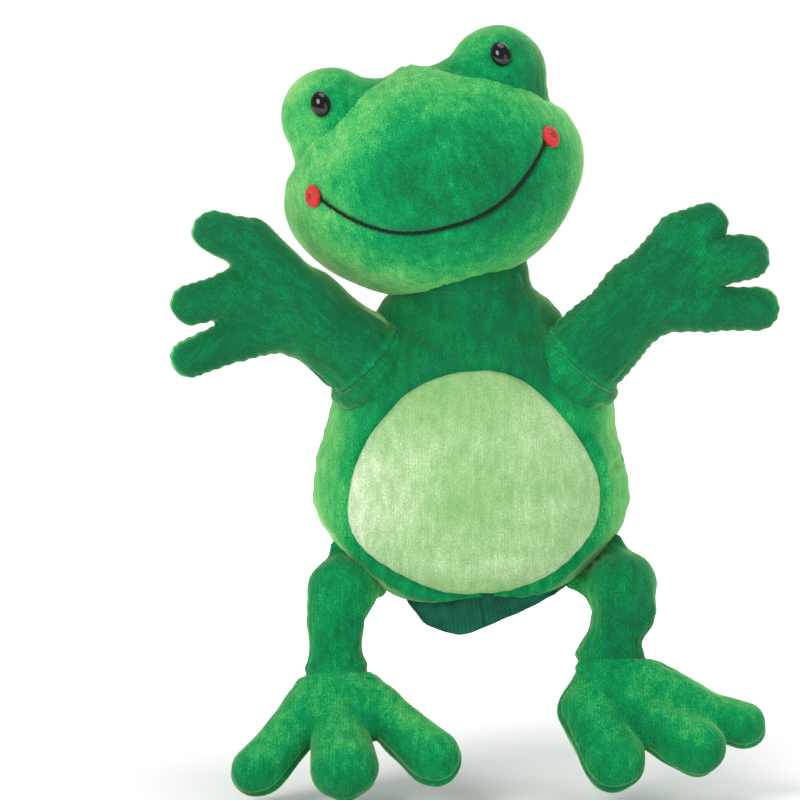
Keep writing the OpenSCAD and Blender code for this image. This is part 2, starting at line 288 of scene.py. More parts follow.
class Nodes:
    """Adds and links the nodes of one material."""

    def __init__(self, name):
        self.material = bpy.data.materials.new(name)
        self.material.use_nodes = True
        self.tree = self.material.node_tree
        self.shader = self.tree.nodes["Principled BSDF"]

    def add(self, kind, **values):
        node = self.tree.nodes.new(kind)
        for key, value in values.items():
            setattr(node, key, value)
        return node

    def put(self, value, socket):
        if isinstance(value, bpy.types.NodeSocket):
            self.tree.links.new(value, socket)
        else:
            socket.default_value = value

    def maths(self, operation, a, b=0.0, clamp=False):
        node = self.add("ShaderNodeMath", operation=operation, use_clamp=clamp)
        self.put(a, node.inputs[0])
        self.put(b, node.inputs[1])
        return node.outputs[0]

    def noise(self, where, scale, detail=3.0, rough=0.55, stretch=None):
        if stretch:
            move = self.add("ShaderNodeMapping")
            move.inputs["Scale"].default_value = stretch
            self.put(where, move.inputs["Vector"])
            where = move.outputs[0]
        node = self.add("ShaderNodeTexNoise")
        self.put(where, node.inputs["Vector"])
        node.inputs["Scale"].default_value = scale
        node.inputs["Detail"].default_value = detail
        node.inputs["Roughness"].default_value = rough
        return node.outputs["Fac"]

    def ribs(self, where, pitch, wander, axis="X"):
        node = self.add("ShaderNodeTexWave", bands_direction=axis)
        self.put(where, node.inputs["Vector"])
        node.inputs["Scale"].default_value = 2 * math.pi / (20 * pitch)
        node.inputs["Distortion"].default_value = wander
        node.inputs["Detail"].default_value = 2.0
        node.inputs["Detail Scale"].default_value = 0.6
        return node.outputs["Fac"]

    def cloth(self):
        return self.add("ShaderNodeAttribute", attribute_name="cloth").outputs["Vector"]

    def mix(self, share, first, second):
        node = self.add("ShaderNodeMix", data_type="RGBA")
        self.put(share, node.inputs[0])
        self.put(first, node.inputs[6])
        self.put(second, node.inputs[7])
        return node.outputs[2]

    def ramp(self, value, *stops):
        node = self.add("ShaderNodeValToRGB")
        self.put(value, node.inputs[0])
        row = node.color_ramp.elements
        while len(row) < len(stops):
            row.new(0.5)
        for element, (place, colour) in zip(row, stops):
            element.position = place
            element.color = colour
        return node.outputs[0]

    def bump(self, height, distance, strength=1.0):
        node = self.add("ShaderNodeBump")
        node.inputs["Distance"].default_value = distance
        node.inputs["Strength"].default_value = strength
        self.put(height, node.inputs["Height"])
        self.put(node.outputs[0], self.shader.inputs["Normal"])

    def set(self, **values):
        for key, value in values.items():
            self.put(value, self.shader.inputs[key.replace("_", " ")])
        return self.material


def plain_material(name, colour, roughness):
    return Nodes(name).set(Base_Color=(*colour, 1), Roughness=roughness)


def velour(name, stops, shine, tint, rib=1.3):
    """Short-pile knitted velour: the pile's tone varies in patches over fine upright wales, and a per-point
    attribute adds painted light, lighter for painted sheen and highlights and darker for painted shade.
    """
    n = Nodes(name)
    cloth = n.cloth()
    patches = n.noise(cloth, 34, 3.0, 0.6)
    strokes = n.noise(cloth, 260, 4.0, 0.7, stretch=(1.0, 1.0, 0.5))
    pile = n.noise(cloth, 1400, 2.0, 0.7)
    wales = n.ribs(cloth, rib * MM, 1.6)
    # painted light: this attribute moves the colour up the ramp for painted sheen and highlights, and down it
    # for painted shade
    painted_light = n.add("ShaderNodeAttribute", attribute_name="pile_tone_and_painted_light").outputs["Fac"]
    pile_tone_and_painted_light = n.maths("MULTIPLY", patches, 0.36)
    pile_tone_and_painted_light = n.maths("ADD", pile_tone_and_painted_light, n.maths("MULTIPLY", strokes, 0.42))
    pile_tone_and_painted_light = n.maths("ADD", pile_tone_and_painted_light, n.maths("MULTIPLY", pile, 0.50))
    pile_tone_and_painted_light = n.maths("ADD", pile_tone_and_painted_light, n.maths("MULTIPLY", wales, 0.03))
    pile_tone_and_painted_light = n.maths("SUBTRACT", pile_tone_and_painted_light, 0.165)
    pile_tone_and_painted_light = n.maths("ADD", pile_tone_and_painted_light, painted_light)
    colour = n.ramp(pile_tone_and_painted_light, *stops)
    height = n.maths("ADD", n.maths("MULTIPLY", wales, 0.12), n.maths("MULTIPLY", pile, 0.75))
    height = n.maths("ADD", height, n.maths("MULTIPLY", strokes, 0.9))
    n.bump(height, 0.00045, 0.6)
    return n.set(
        Base_Color=colour,
        Roughness=0.9,
        Specular_IOR_Level=0.08,
        Sheen_Weight=shine,
        Sheen_Roughness=0.34,
        Sheen_Tint=tint,
    )


def lining_knit(name):
    """Thin ribbed knit of the lining."""
    n = Nodes(name)
    cloth = n.cloth()
    ribs = n.ribs(cloth, 1.6 * MM, 0.3)
    rows = n.ribs(cloth, 1.1 * MM, 0.6, axis="Z")
    patches = n.noise(cloth, 70, 3.0)
    value = n.maths("ADD", n.maths("MULTIPLY", patches, 0.9), n.maths("MULTIPLY", ribs, 0.1))
    colour = n.ramp(value, (0.30, linear(4, 58, 44)), (0.52, linear(6, 82, 60)), (0.72, linear(14, 104, 76)))
    n.bump(n.maths("ADD", ribs, n.maths("MULTIPLY", rows, 0.4)), 0.0003, 0.7)
    return n.set(
        Base_Color=colour,
        Roughness=0.8,
        Specular_IOR_Level=0.2,
        Sheen_Weight=0.25,
        Sheen_Roughness=0.5,
        Sheen_Tint=linear(90, 170, 130),
    )


def thread(name, dark, light, gloss, shine):
    """Shiny embroidery thread with its twist."""
    n = Nodes(name)
    cloth = n.cloth()
    twist = n.ribs(cloth, 0.45 * MM, 1.2)
    fuzz = n.noise(cloth, 900, 3.0)
    value = n.maths("ADD", n.maths("MULTIPLY", twist, 0.5), n.maths("MULTIPLY", fuzz, 0.5))
    n.bump(value, 0.00025, 0.8)
    return n.set(
        Base_Color=n.ramp(value, (0.25, dark), (0.75, light)),
        Roughness=gloss,
        Specular_IOR_Level=0.35,
        Sheen_Weight=shine,
        Sheen_Roughness=0.4,
    )


def eye_material(name):
    """Polished black plastic, with the faint haze of handling."""
    n = Nodes(name)
    haze = n.noise(n.cloth(), 420, 4.0)
    return n.set(
        Base_Color=n.ramp(haze, (0.4, (0.002, 0.002, 0.003, 1)), (0.7, (0.006, 0.006, 0.008, 1))),
        Roughness=n.ramp(haze, (0.35, (0.04, 0.04, 0.04, 1)), (0.75, (0.09, 0.09, 0.09, 1))),
        Specular_IOR_Level=0.3,
        Coat_Weight=0.25,
        Coat_Roughness=0.04,
    )


def stuffing_material(name):
    """White fibre filling and the washers' pale plastic, only seen where a piece is cut open."""
    n = Nodes(name)
    puff = n.noise(n.cloth(), 260, 5.0)
    n.bump(puff, 0.001, 0.6)
    tone = n.ramp(puff, (0.3, linear(205, 205, 198)), (0.7, linear(240, 240, 236)))
    return n.set(Base_Color=tone, Roughness=0.9)


GREEN = velour(
    "green_velour",
    (
        (0.30, linear(14, 92, 56)),
        (0.42, linear(8, 116, 68)),
        (0.54, linear(4, 142, 78)),
        (0.68, linear(70, 170, 90)),
        (0.84, linear(138, 196, 116)),
    ),
    0.9,
    linear(196, 250, 172),
)
PALE_GREEN = velour(
    "belly_velour",
    (
        (0.34, linear(116, 166, 100)),
        (0.48, linear(142, 182, 124)),
        (0.60, linear(172, 202, 154)),
        (0.80, linear(242, 241, 232)),
    ),
    0.6,
    linear(255, 255, 235),
)
LINING = lining_knit("lining")
BLACK_THREAD = thread("black_thread", (0.001, 0.002, 0.001, 1), (0.008, 0.010, 0.008, 1), 0.7, 0.0)
RED_THREAD = thread("red_thread", linear(170, 16, 26), linear(232, 44, 44), 0.5, 0.3)
EYE_GLOSS = eye_material("eye_gloss")
STUFFING = stuffing_material("stuffing")


# ---- solid forms as distance fields ----


def ball(p, centre, r):
    return np.linalg.norm(p - centre, axis=-1) - r


def cone(p, a, b, ra, rb):
    """A round-ended rod from a to b, whose radius goes from ra to rb."""
    a, b = np.asarray(a, float), np.asarray(b, float)
    way = b - a
    t = np.clip((p - a) @ way / (way @ way), 0, 1)
    return np.linalg.norm(p - a - t[..., None] * way, axis=-1) - (ra + (rb - ra) * t)


def join(a, b, k):
    """The union of two fields, with a fillet about k wide."""
    h = np.clip(k - np.abs(a - b), 0, None) / k
    return np.minimum(a, b) - h * h * k / 4


def cut(a, b, k):
    """What two fields share, with a rounded edge about k wide."""
    return -join(-a, -b, k)


def gradient(field, p):
    step = 0.05
    here = field(p)
    slopes = [(field(p + step * np.eye(3)[i]) - here) / step for i in range(3)]
    return here, np.stack(slopes, -1)


def settle(field, p):
    """Moves points along the field's slope onto its surface."""
    here, slope = gradient(field, p)
    size = np.clip((slope**2).sum(-1), 0.2, None)
    move = slope * (here / size)[:, None]
    far = np.linalg.norm(move, axis=-1, keepdims=True)
    return p - move * np.minimum(1, 2.0 / np.maximum(far, 1e-9))


def net(field, low, high, step):
    """Four-sided faces around a field's surface, by surface nets."""
    axes = [np.arange(a, b + step, step) for a, b in zip(low, high)]
    grid = np.stack(np.meshgrid(*axes, indexing="ij"), -1)
    inside = field(grid.reshape(-1, 3)).reshape(grid.shape[:3]) < 0
    size = np.array(inside.shape) - 1
    count = np.zeros(size, int)
    for i in (0, 1):
        for j in (0, 1):
            for k in (0, 1):
                count += inside[i : i + size[0], j : j + size[1], k : k + size[2]]
    crossed = (count > 0) & (count < 8)
    index = np.full(size, -1)
    index[crossed] = np.arange(crossed.sum())
    points = np.asarray(low) + (np.argwhere(crossed) + 0.5) * step
    faces = []
    for axis in range(3):
        one, two = np.eye(3, dtype=int)[(axis + 1) % 3], np.eye(3, dtype=int)[(axis + 2) % 3]
        first = np.take(inside, range(size[axis]), axis)
        second = np.take(inside, range(1, size[axis] + 1), axis)
        at = np.argwhere(first != second)
        whole = np.all(at - one - two >= 0, axis=1) & np.all(at < size, axis=1)
        at = at[whole]
        quad = np.stack([index[tuple((at - m).T)] for m in (0 * one, one, one + two, two)], -1)
        out = first[tuple(at.T)]
        quad[~out] = quad[~out][:, ::-1]
        faces.append(quad)
    return points, np.concatenate(faces)


def neighbours(faces):
    return np.concatenate([faces[:, [i, (i + 1) % 4]] for i in range(4)])


def relax(points, faces, rounds, share=0.55):
    """Evens out the spacing of points by moving each towards the middle of its neighbours."""
    pairs = neighbours(faces)
    count = np.bincount(pairs[:, 0], minlength=len(points))[:, None]
    for _ in range(rounds):
        total = [np.bincount(pairs[:, 0], points[pairs[:, 1], k], len(points)) for k in range(3)]
        points = points + share * (np.stack(total, -1) / count - points)
    return points


def skin(field, low, high, step=1.3, rounds=5):
    """Even four-sided faces on a field's surface."""
    points, faces = net(field, low, high, step)
    for _ in range(rounds):
        points = settle(field, relax(points, faces, 1))
    return settle(field, settle(field, points)), faces


def normals(points, faces):
    a = points[faces[:, 2]] - points[faces[:, 0]]
    b = points[faces[:, 3]] - points[faces[:, 1]]
    n = np.cross(a, b)
    out = np.zeros_like(points)
    for i in range(4):
        for k in range(3):
            out[:, k] += np.bincount(faces[:, i], n[:, k], len(points))
    return out / np.maximum(np.linalg.norm(out, axis=1, keepdims=True), 1e-12)


# ---- seams, creases and folds ----


def along(p, path):
    """The distance from each point to a path of straight pieces, and how far along the path that is."""
    path = np.asarray(path, float)
    best = np.full(len(p), 1e9)
    place = np.zeros(len(p))
    start = 0.0
    for a, b in zip(path[:-1], path[1:]):
        way = b - a
        size = np.linalg.norm(way)
        t = np.clip((p - a) @ way / (size * size), 0, 1)
        d = np.linalg.norm(p - a - t[:, None] * way, axis=1)
        near = d < best
        best = np.where(near, d, best)
        place = np.where(near, start + t * size, place)
        start += size
    return best, place


def dent(d, width, depth):
    return -depth * np.exp(-((d / width) ** 2))


def seam(d, width=1.5, depth=1.1, ridge=0.35):
    """A sewn seam: a narrow groove between two low rolls."""
    return dent(d, width, depth) + ridge * np.exp(-(((np.abs(d) - 2.2 * width) / (1.3 * width)) ** 2))


def fold(p, a, b, width, height):
    """A fold that runs from a to b and fades out at both ends."""
    a, b = np.asarray(a, float), np.asarray(b, float)
    way = b - a
    t = np.clip((p - a) @ way / (way @ way), 0, 1)
    d = np.linalg.norm(p - a - t[:, None] * way, axis=1)
    return height * np.exp(-((d / width) ** 2)) * np.sqrt(np.clip(np.sin(math.pi * t), 0, 1))


def lumps(p, size, seed):
    """A smooth uneven field between about -1 and 1, whose bumps are about size across."""
    pick = np.random.RandomState(seed)
    total = np.zeros(len(p))
    for _ in range(9):
        way = pick.normal(size=3)
        way *= 2 * math.pi / (size * pick.uniform(1.4, 3.0)) / np.linalg.norm(way)
        total += np.sin(p @ way + pick.uniform(0, 2 * math.pi))
    return total / 3.2


def gathers(d, place, reach, pitch, height, seed):
    """Small puckers that a stitched seam pulls in on both its sides."""
    ripple = np.sin(2 * math.pi * place / pitch + 1.7 * np.sin(place / pitch * 0.9 + seed))
    return height * ripple * np.exp(-((d / reach) ** 2)) * (1 - np.exp(-((d / (0.35 * reach)) ** 2)))


# ---- pieces ----


def piece(name, points, faces, material, body, nodes, cloth, pile_tone_and_painted_light=0.0):
    """A mesh in metres that rides on a body and stands for the named CAD nodes.

    cloth places its weave; the last argument paints light into the pile's colour, lighter for painted sheen
    and highlights and darker for painted shade.
    """
    mesh = bpy.data.meshes.new(name)
    mesh.from_pydata((points * MM).tolist(), [], [list(f) for f in faces])
    mesh.polygons.foreach_set("use_smooth", [True] * len(mesh.polygons))
    mesh.materials.append(material)
    layer = mesh.attributes.new("cloth", "FLOAT_VECTOR", "POINT")
    layer.data.foreach_set("vector", (cloth * MM).ravel())
    # per-point painted light and shade, read by the velour's colour ramp
    layer = mesh.attributes.new("pile_tone_and_painted_light", "FLOAT", "POINT")
    layer.data.foreach_set("value", np.broadcast_to(pile_tone_and_painted_light, len(points)).astype(float))
    mesh.update()
    obj = bpy.data.objects.new(name, mesh)
    SCENE.collection.objects.link(obj)
    if body:
        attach(obj, body)
    if nodes:
        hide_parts(*nodes)
    return obj


def arc(x, r):
    """How far round a curved side a point is, from its distance x off the middle."""
    return r * np.arcsin(np.clip(x / r, -0.985, 0.985))


class Stuffed:
    """A stuffed piece, made from a field, that the cloth simulation swells between its seams."""

    waiting = []

    def __init__(self, name, field, low, high, step, held, cap=2.4):
        self.name = name
        self.points, self.faces = skin(field, low, high, step)
        self.rough, self.rough_faces = skin(field, low, high, 4.4, 3)
        self.held = np.clip(held(self.rough), 0, 1)
        self.cap = cap
        self.moved = np.zeros_like(self.rough)
        Stuffed.waiting.append(self)

    def swelled(self):
        """The fine points, moved as the rough ones near them were."""
        if not np.any(self.moved):
            return self.points
        out = np.empty_like(self.points)
        for start in range(0, len(self.points), 3000):
            part = self.points[start : start + 3000]
            gap = ((part[:, None] - self.rough[None]) ** 2).sum(-1)
            weight = np.exp(-gap / (2 * 3.4**2)) + 1e-12
            out[start : start + 3000] = part + weight @ self.moved / weight.sum(1, keepdims=True)
        return out


def simulate():
    """Blows all stuffed pieces up at once with Blender's cloth pressure. Their seams are held in place."""
    cloths = []
    for item in Stuffed.waiting:
        mesh = bpy.data.meshes.new("rough")
        mesh.from_pydata((item.rough * MM).tolist(), [], item.rough_faces.tolist())
        obj = bpy.data.objects.new("rough", mesh)
        SCENE.collection.objects.link(obj)
        group = obj.vertex_groups.new(name="held")
        for i, weight in enumerate(item.held):
            group.add([i], float(weight), "REPLACE")
        cloth = obj.modifiers.new("Cloth", "CLOTH")
        cloth.settings.vertex_group_mass = "held"
        cloth.settings.use_pressure = True
        cloth.settings.uniform_pressure_force = 4.0
        cloth.settings.effector_weights.gravity = 0
        cloth.settings.quality = 6
        cloths.append(obj)
    for step in range(1, 21):
        SCENE.frame_set(step)
    ready = bpy.context.evaluated_depsgraph_get()
    for item, obj in zip(Stuffed.waiting, cloths):
        mesh = obj.evaluated_get(ready).to_mesh()
        points = np.empty(len(mesh.vertices) * 3)
        mesh.vertices.foreach_get("co", points)
        move = points.reshape(-1, 3) / MM - item.rough
        out = normals(item.rough, item.rough_faces)
        free = item.held < 0.5
        rise = (move * out).sum(1)[free].mean() if free.any() else 0.0
        move -= 0.6 * rise * out
        far = np.linalg.norm(move, axis=1, keepdims=True)
        item.moved = move * np.minimum(1, item.cap / np.maximum(far, 1e-9))
        obj.evaluated_get(ready).to_mesh_clear()
    for obj in cloths:
        bpy.data.objects.remove(obj)
    SCENE.frame_set(1)


def around(*spheres, room=4):
    """The box round a set of (centre, radius)."""
    low = np.min([np.asarray(c) - r for c, r in spheres], 0) - room
    high = np.max([np.asarray(c) + r for c, r in spheres], 0) + room
    return low, high


# ---- head ----


def to_head(p):
    return (p - HEAD) @ HEAD_AXES.T


def from_head(q):
    return HEAD + np.asarray(q, float) @ HEAD_AXES


def skull(p):
    """The head without its eye mounds."""
    q = to_head(p)
    share = q / HEAD_SIZE
    turn = np.arctan2(share[..., 2], share[..., 0])
    wide = np.minimum(np.hypot(share[..., 0], share[..., 2]), 1)
    slim = 1 - CHEEK_SLOPE * np.sin(2 * turn) ** 2 * wide**2
    k0 = np.linalg.norm(share, axis=-1) / slim
    k1 = np.linalg.norm(q / HEAD_SIZE**2, axis=-1)
    return k0 * (k0 - 1) / np.maximum(k1, 1e-6)


def whole_head(p):
    """The head with its eye mounds grown out of it."""
    d = skull(p)
    for s in (1, -1):
        d = join(d, ball(p, mound_centre(s), MOUND_R), MOUND_FILLET)
    return d


def beyond_mound_seam(p, s):
    """How far past the flat seam of an eye mound a point is."""
    q = to_head(p)
    return s * MOUND_SEAM[0] * q[..., 0] + MOUND_SEAM[1] * q[..., 2] - MOUND_SEAM[2]


def mound_centre(s):
    return from_head((s * MOUND_PLACE[0], MOUND_PLACE[1], MOUND_PLACE[2]))


def face_point(u, v, proud=0.0):
    """The point of the face at head coordinates u, v, standing proud of its surface."""
    u, v = np.broadcast_arrays(np.asarray(u, float), np.asarray(v, float))
    near, far = np.full(u.shape, -60.0), np.full(u.shape, 0.0)
    for _ in range(26):
        middle = (near + far) / 2
        inside = skull(from_head(np.stack([u, middle, v], -1))) < 0
        far = np.where(inside, middle, far)
        near = np.where(inside, near, middle)
    p = from_head(np.stack([u, far, v], -1))
    _, slope = gradient(skull, p.reshape(-1, 3))
    slope /= np.linalg.norm(slope, axis=-1, keepdims=True)
    return p + proud * slope.reshape(p.shape)


def mouth_height(u):
    return MOUTH_LOW + MOUTH_RISE * np.abs(u / MOUTH_HALF) ** 2.5


def head_cloth(p):
    q = to_head(p)
    return np.stack([arc(q[:, 0], 62), q[:, 1], arc(q[:, 2], 48)], -1)


def head_held(p):
    """Where stitches hold the head's skin: its neck, the mounds' seams and the side seams."""
    q = to_head(p)
    neck = np.exp(-((np.linalg.norm(p - NECK, axis=1) / 24) ** 4))
    sides = np.exp(-((q[:, 1] / 3) ** 2))
    mounds = sum(np.exp(-((beyond_mound_seam(p, s) / 4) ** 2)) for s in (1, -1))
    return neck + 0.9 * sides + mounds


def make_head():
    def field(p):
        d = whole_head(p)
        for s in (1, -1):
            d = cut(d, beyond_mound_seam(p, s) - OVERLAP, 1.0)
        return d

    head = Stuffed("head_skin", field, *around((HEAD, 62)), 1.3, head_held, cap=1.6)
    mounds = {}
    for side, s in SIDES.items():

        def mound_field(p, s=s):
            return cut(whole_head(p), -beyond_mound_seam(p, s) - OVERLAP, 1.0)

        mounds[side] = skin(mound_field, *around((mound_centre(s), MOUND_R + 5)), 1.15, 5)
    return head, mounds


def eye_frame(s):
    """An eye's middle on its mound, and the directions of its width, its outward axis and its height."""
    sideways, forwards, up = EYE_LOOK[s]
    out = np.array([s * sideways, forwards, up], float) @ HEAD_AXES
    out /= np.linalg.norm(out)
    up = HEAD_UP - (HEAD_UP @ out) * out
    up /= np.linalg.norm(up)
    return mound_centre(s) + out * (MOUND_R - 0.1), np.array([np.cross(out, up), out, up])


def finish_head(head, mounds):
    points, faces = head.swelled(), head.faces
    q = to_head(points)
    front = q[:, 1] < 2
    out = normals(points, faces)
    path = np.linspace(-MOUTH_HALF, MOUTH_HALF, 60)
    mouth, place = along(points, face_point(path, mouth_height(path)))
    lift = dent(mouth, 1.8, 1.3) + 0.5 * np.exp(-(((mouth - 5.5) / 3.2) ** 2))
    lift += gathers(mouth, place, 4.5, 4.6, 0.16, 1)
    brow, place = along(points, face_point(np.zeros(8), np.linspace(47, 30, 8)))
    lift += seam(brow, 0.9, 0.8, 0.2) + gathers(brow, place, 4, 3.6, 0.15, 2)
    chin, place = along(points, face_point(np.linspace(-6, -9, 10), np.linspace(-46, -24, 10)))
    lift += np.where(front, seam(chin, 0.8, 0.6, 0.2) + gathers(chin, place, 5, 3.8, 0.2, 3), 0)
    lift += dent(q[:, 1] - 1.5, 1.2, 0.9)
    for s in (1, -1):
        gap = beyond_mound_seam(points, s)
        turn = np.arctan2(q[:, 1], s * q[:, 0] - MOUND_PLACE[0]) * MOUND_R
        lift += seam(gap, 1.4, 0.8, 0.25) + gathers(np.abs(gap), turn, 6, 4.2, 0.22, 4 + s)
        lift -= 0.9 * np.clip(gap - 0.3, 0, 1)
        dot_centre = face_point(s * DOT_PLACE[0], DOT_PLACE[1])
        dot, _ = along(points, [dot_centre] * 2 + np.array([[0, 0, 0], [0, 0.01, 0]]))
        lift += dent(dot, 5.5, 1.0)
    lift += 0.35 * lumps(points, 16, 5) + 0.12 * lumps(points, 6, 6)
    points = points + out * lift[:, None]
    nodes = ["head_front", "head_back", "head_stuffing"]
    # Painted light on the face: its rim is painted lighter as sheen, and its +x side, away from the key
    # light, painted darker as shade.
    rim = ((q[:, 0] - 8) / 48) ** 2 + ((q[:, 2] + 3) / 36) ** 2
    pile_tone_and_painted_light = 0.27 * np.clip(rim - 0.35, 0, 0.9) - 0.04
    pile_tone_and_painted_light -= 0.07 * np.exp(-(((q[:, 0] - 30) / 20) ** 2) - ((q[:, 2] - 2) / 16) ** 2)
    skin_piece = piece("head_skin", points, faces, GREEN, "head", nodes, head_cloth(points), pile_tone_and_painted_light)
    for side, s in SIDES.items():
        points, faces = mounds[side]
        gap = beyond_mound_seam(points, s)
        q = to_head(points)
        turn = np.arctan2(q[:, 1], s * q[:, 0] - MOUND_PLACE[0]) * MOUND_R
        eye, axes = eye_frame(s)
        near = (points - eye) @ axes.T
        round_eye = np.hypot(near[:, 0] / 1.0, near[:, 2] / 1.25)
        near_eye = np.where(near[:, 1] > -6, 1, 0)
        lift = seam(gap, 1.4, 0.8, 0.25) + gathers(np.abs(gap), turn, 6, 3.6, 0.25, 7 + s)
        lift -= 0.5 * np.clip(-0.3 - gap, 0, 1)
        lift += near_eye * (dent(round_eye, 4.2, 1.5) + 0.3 * np.exp(-(((round_eye - 7) / 2.4) ** 2)))
        lift += 0.25 * lumps(points, 10, 8 + s)
        points = points + normals(points, faces) * lift[:, None]
        name = f"mound_{side}"
        # Painted light on the mound: lighter on its -x side towards the key light and on its top, darker on
        # its +x side away from it.
        pile_tone_and_painted_light = 0.16 * np.clip((-q[:, 0] - 26) / 16, 0, 1) - 0.08 * np.clip((q[:, 0] - 34) / 10, 0, 1)
        pile_tone_and_painted_light += 0.10 * np.clip((q[:, 2] - 42) / 8, 0, 1)
        nodes = [f"eye_mound_{side}"]
        mound = piece(name, points, faces, GREEN, "head", nodes, head_cloth(points) + (0, 9 * s, 5), pile_tone_and_painted_light)


def round_grid(across, around_it):
    """Unit-ball points in rings from one pole to the other, and their faces."""
    points = [(0, 1, 0)]
    for i in range(1, across):
        a = math.pi * i / across
        for j in range(around_it):
            b = 2 * math.pi * j / around_it
            points.append((math.sin(a) * math.cos(b), math.cos(a), math.sin(a) * math.sin(b)))
    points.append((0, -1, 0))
    faces = []
    for i in range(across - 2):
        for j in range(around_it):
            a, b = 1 + i * around_it + j, 1 + i * around_it + (j + 1) % around_it
            faces.append((a, b, b + around_it, a + around_it))
    last = len(points) - 1
    ends = [(0, 1 + (j + 1) % around_it, 1 + j) for j in range(around_it)]
    base = last - around_it
    ends += [(last, base + j, base + (j + 1) % around_it) for j in range(around_it)]
    return np.array(points, float), faces, ends


def make_eyes():
    for side, s in SIDES.items():
        eye, axes = eye_frame(s)
        ring, faces, ends = round_grid(20, 40)
        points = eye + (ring * EYE_SIZE) @ axes
        obj = piece(f"eyeball_{side}", points, faces + ends, EYE_GLOSS, "head", [f"eye_{side}"], points)


def rods(parts):
    """Round-ended rods in one mesh. Each part is a list of (centre, radius) along it."""
    points, faces, cloth = [], [], []
    around_it = 8
    for part in parts:
        middle = np.array([c for c, _ in part], float)
        run = np.cumsum([0.0] + [np.linalg.norm(b - a) for a, b in zip(middle[:-1], middle[1:])])
        base = len(points)
        for i, (centre, radius) in enumerate(part):
            way = middle[min(i + 1, len(part) - 1)] - middle[max(i - 1, 0)]
            way /= np.linalg.norm(way)
            side = np.cross(way, (0, 1, 0.01))
            side /= np.linalg.norm(side)
            up = np.cross(side, way)
            for j in range(around_it):
                a = 2 * math.pi * j / around_it
                spot = centre + radius * (math.cos(a) * side + math.sin(a) * up)
                points.append(spot)
                cloth.append((run[i] + 0.25 * j, a, 0))
        for i in range(len(part) - 1):
            for j in range(around_it):
                a, b = base + i * around_it + j, base + i * around_it + (j + 1) % around_it
                faces.append((a, b, b + around_it, a + around_it))
    return np.array(points), np.array(faces), np.array(cloth)


def make_mouth():
    """The mouth is a close row of slanted black stitches that lie in the face's crease."""
    u = np.linspace(-MOUTH_HALF + 1.5, MOUTH_HALF - 1.5, 64)
    line = face_point(u, mouth_height(u), -0.55)
    parts = []
    for i in range(len(u) - 1):
        a, b = line[i], line[i + 1]
        way = b - a
        lean = 0.32 * (-1) ** i * HEAD_UP
        ends = [a - 0.35 * way - lean, a + 0.1 * way - 0.5 * lean, (a + b) / 2, b - 0.1 * way + 0.5 * lean]
        ends.append(b + 0.35 * way + lean)
        parts.append([(p, r) for p, r in zip(ends, (0.2, 0.55, 0.68, 0.55, 0.2))])
    points, faces, cloth = rods(parts)
    mouth = piece("mouth_stitches", points, faces, BLACK_THREAD, "head", ["mouth_stitching"], cloth)


def make_dots():
    """Each corner of the mouth is a padded oval of red satin stitch with a dimple in it."""
    for side, s in SIDES.items():
        centre = face_point(s * DOT_PLACE[0], DOT_PLACE[1], 0.2)
        _, out = gradient(skull, centre[None])
        out = out[0] / np.linalg.norm(out[0])
        up = HEAD_UP - (HEAD_UP @ out) * out
        up /= np.linalg.norm(up)
        axes = np.array([np.cross(out, up), out, up])

        def field(p, centre=centre, axes=axes):
            q = (p - centre) @ axes.T
            far = np.hypot(q[..., 0], q[..., 2] / 1.22)
            turn = np.arctan2(q[..., 2], q[..., 0])
            ripple = 0.10 * np.sin(26 * turn) * np.clip(far / 2, 0, 1)
            ring = np.hypot(far - 2.15, q[..., 1] * 0.95) - 1.45 - ripple
            core = np.hypot(far, (q[..., 1] + 0.3) * 1.2) - 1.15
            return join(ring, core, 0.5)

        low, high = around((centre, 5.0), room=1)
        points, faces = skin(field, low, high, 0.38, 2)
        q = (points - centre) @ axes.T
        turn = np.arctan2(q[:, 2], q[:, 0])
        cloth = np.stack([turn * 2.6, np.hypot(q[:, 0], q[:, 2]), q[:, 1]], -1)
        dot = piece(f"mouth_dot_{side}", points, faces, RED_THREAD, "head", [f"mouth_corner_{side}"], cloth)


# ---- glove body ----


def body_ring(z):
    """Half width, half depth and middle of the body's oval at a height."""
    rows = BODY_RINGS
    z = np.clip(z, rows[0, 0], rows[-1, 0])
    i = np.clip(np.searchsorted(rows[:, 0], z) - 1, 0, len(rows) - 2)
    t = (z - rows[i, 0]) / (rows[i + 1, 0] - rows[i, 0])
    out = []
    for k in (1, 2):
        slope = np.gradient(rows[:, k], rows[:, 0])
        gap = rows[i + 1, 0] - rows[i, 0]
        a, b = rows[i, k], rows[i + 1, k]
        value = a * (2 * t**3 - 3 * t**2 + 1) + b * (3 * t**2 - 2 * t**3)
        value += gap * (slope[i] * (t**3 - 2 * t**2 + t) + slope[i + 1] * (t**3 - t**2))
        out.append(value)
    middle = NECK[0] * np.clip((z - 95) / 30, 0, 1)
    return out[0] * BODY_W, out[1] * BODY_D, middle


def body_spot(turn, z):
    """A point of the body at an angle, which is 0 at the front and grows towards its left, and a height."""
    wide, deep, middle = body_ring(z)
    return np.stack([middle + wide * np.sin(turn), -deep * np.cos(turn), z + 0 * turn], -1)


def belly_edge(count):
    """The belly panel's outline as X, Z points."""
    a = np.linspace(0, 2 * math.pi, count, endpoint=False)
    middle = (BELLY_LOW + BELLY_HIGH) / 2
    half = (BELLY_HIGH - BELLY_LOW) / 2
    x = (half[0] - 1.5) * np.cos(a) * (1 - 0.25 * np.sin(a)) * 0.985
    z = half[2] * np.sin(a)
    wave = 1 + 0.012 * np.sin(3 * a + 0.6) + 0.012 * np.sin(5 * a + 2.0)
    wave = wave - 0.03 * np.exp(-(((a - 2.5) / 0.22) ** 2))
    return np.stack([middle[0] + x * wave, middle[2] + z * wave], -1)


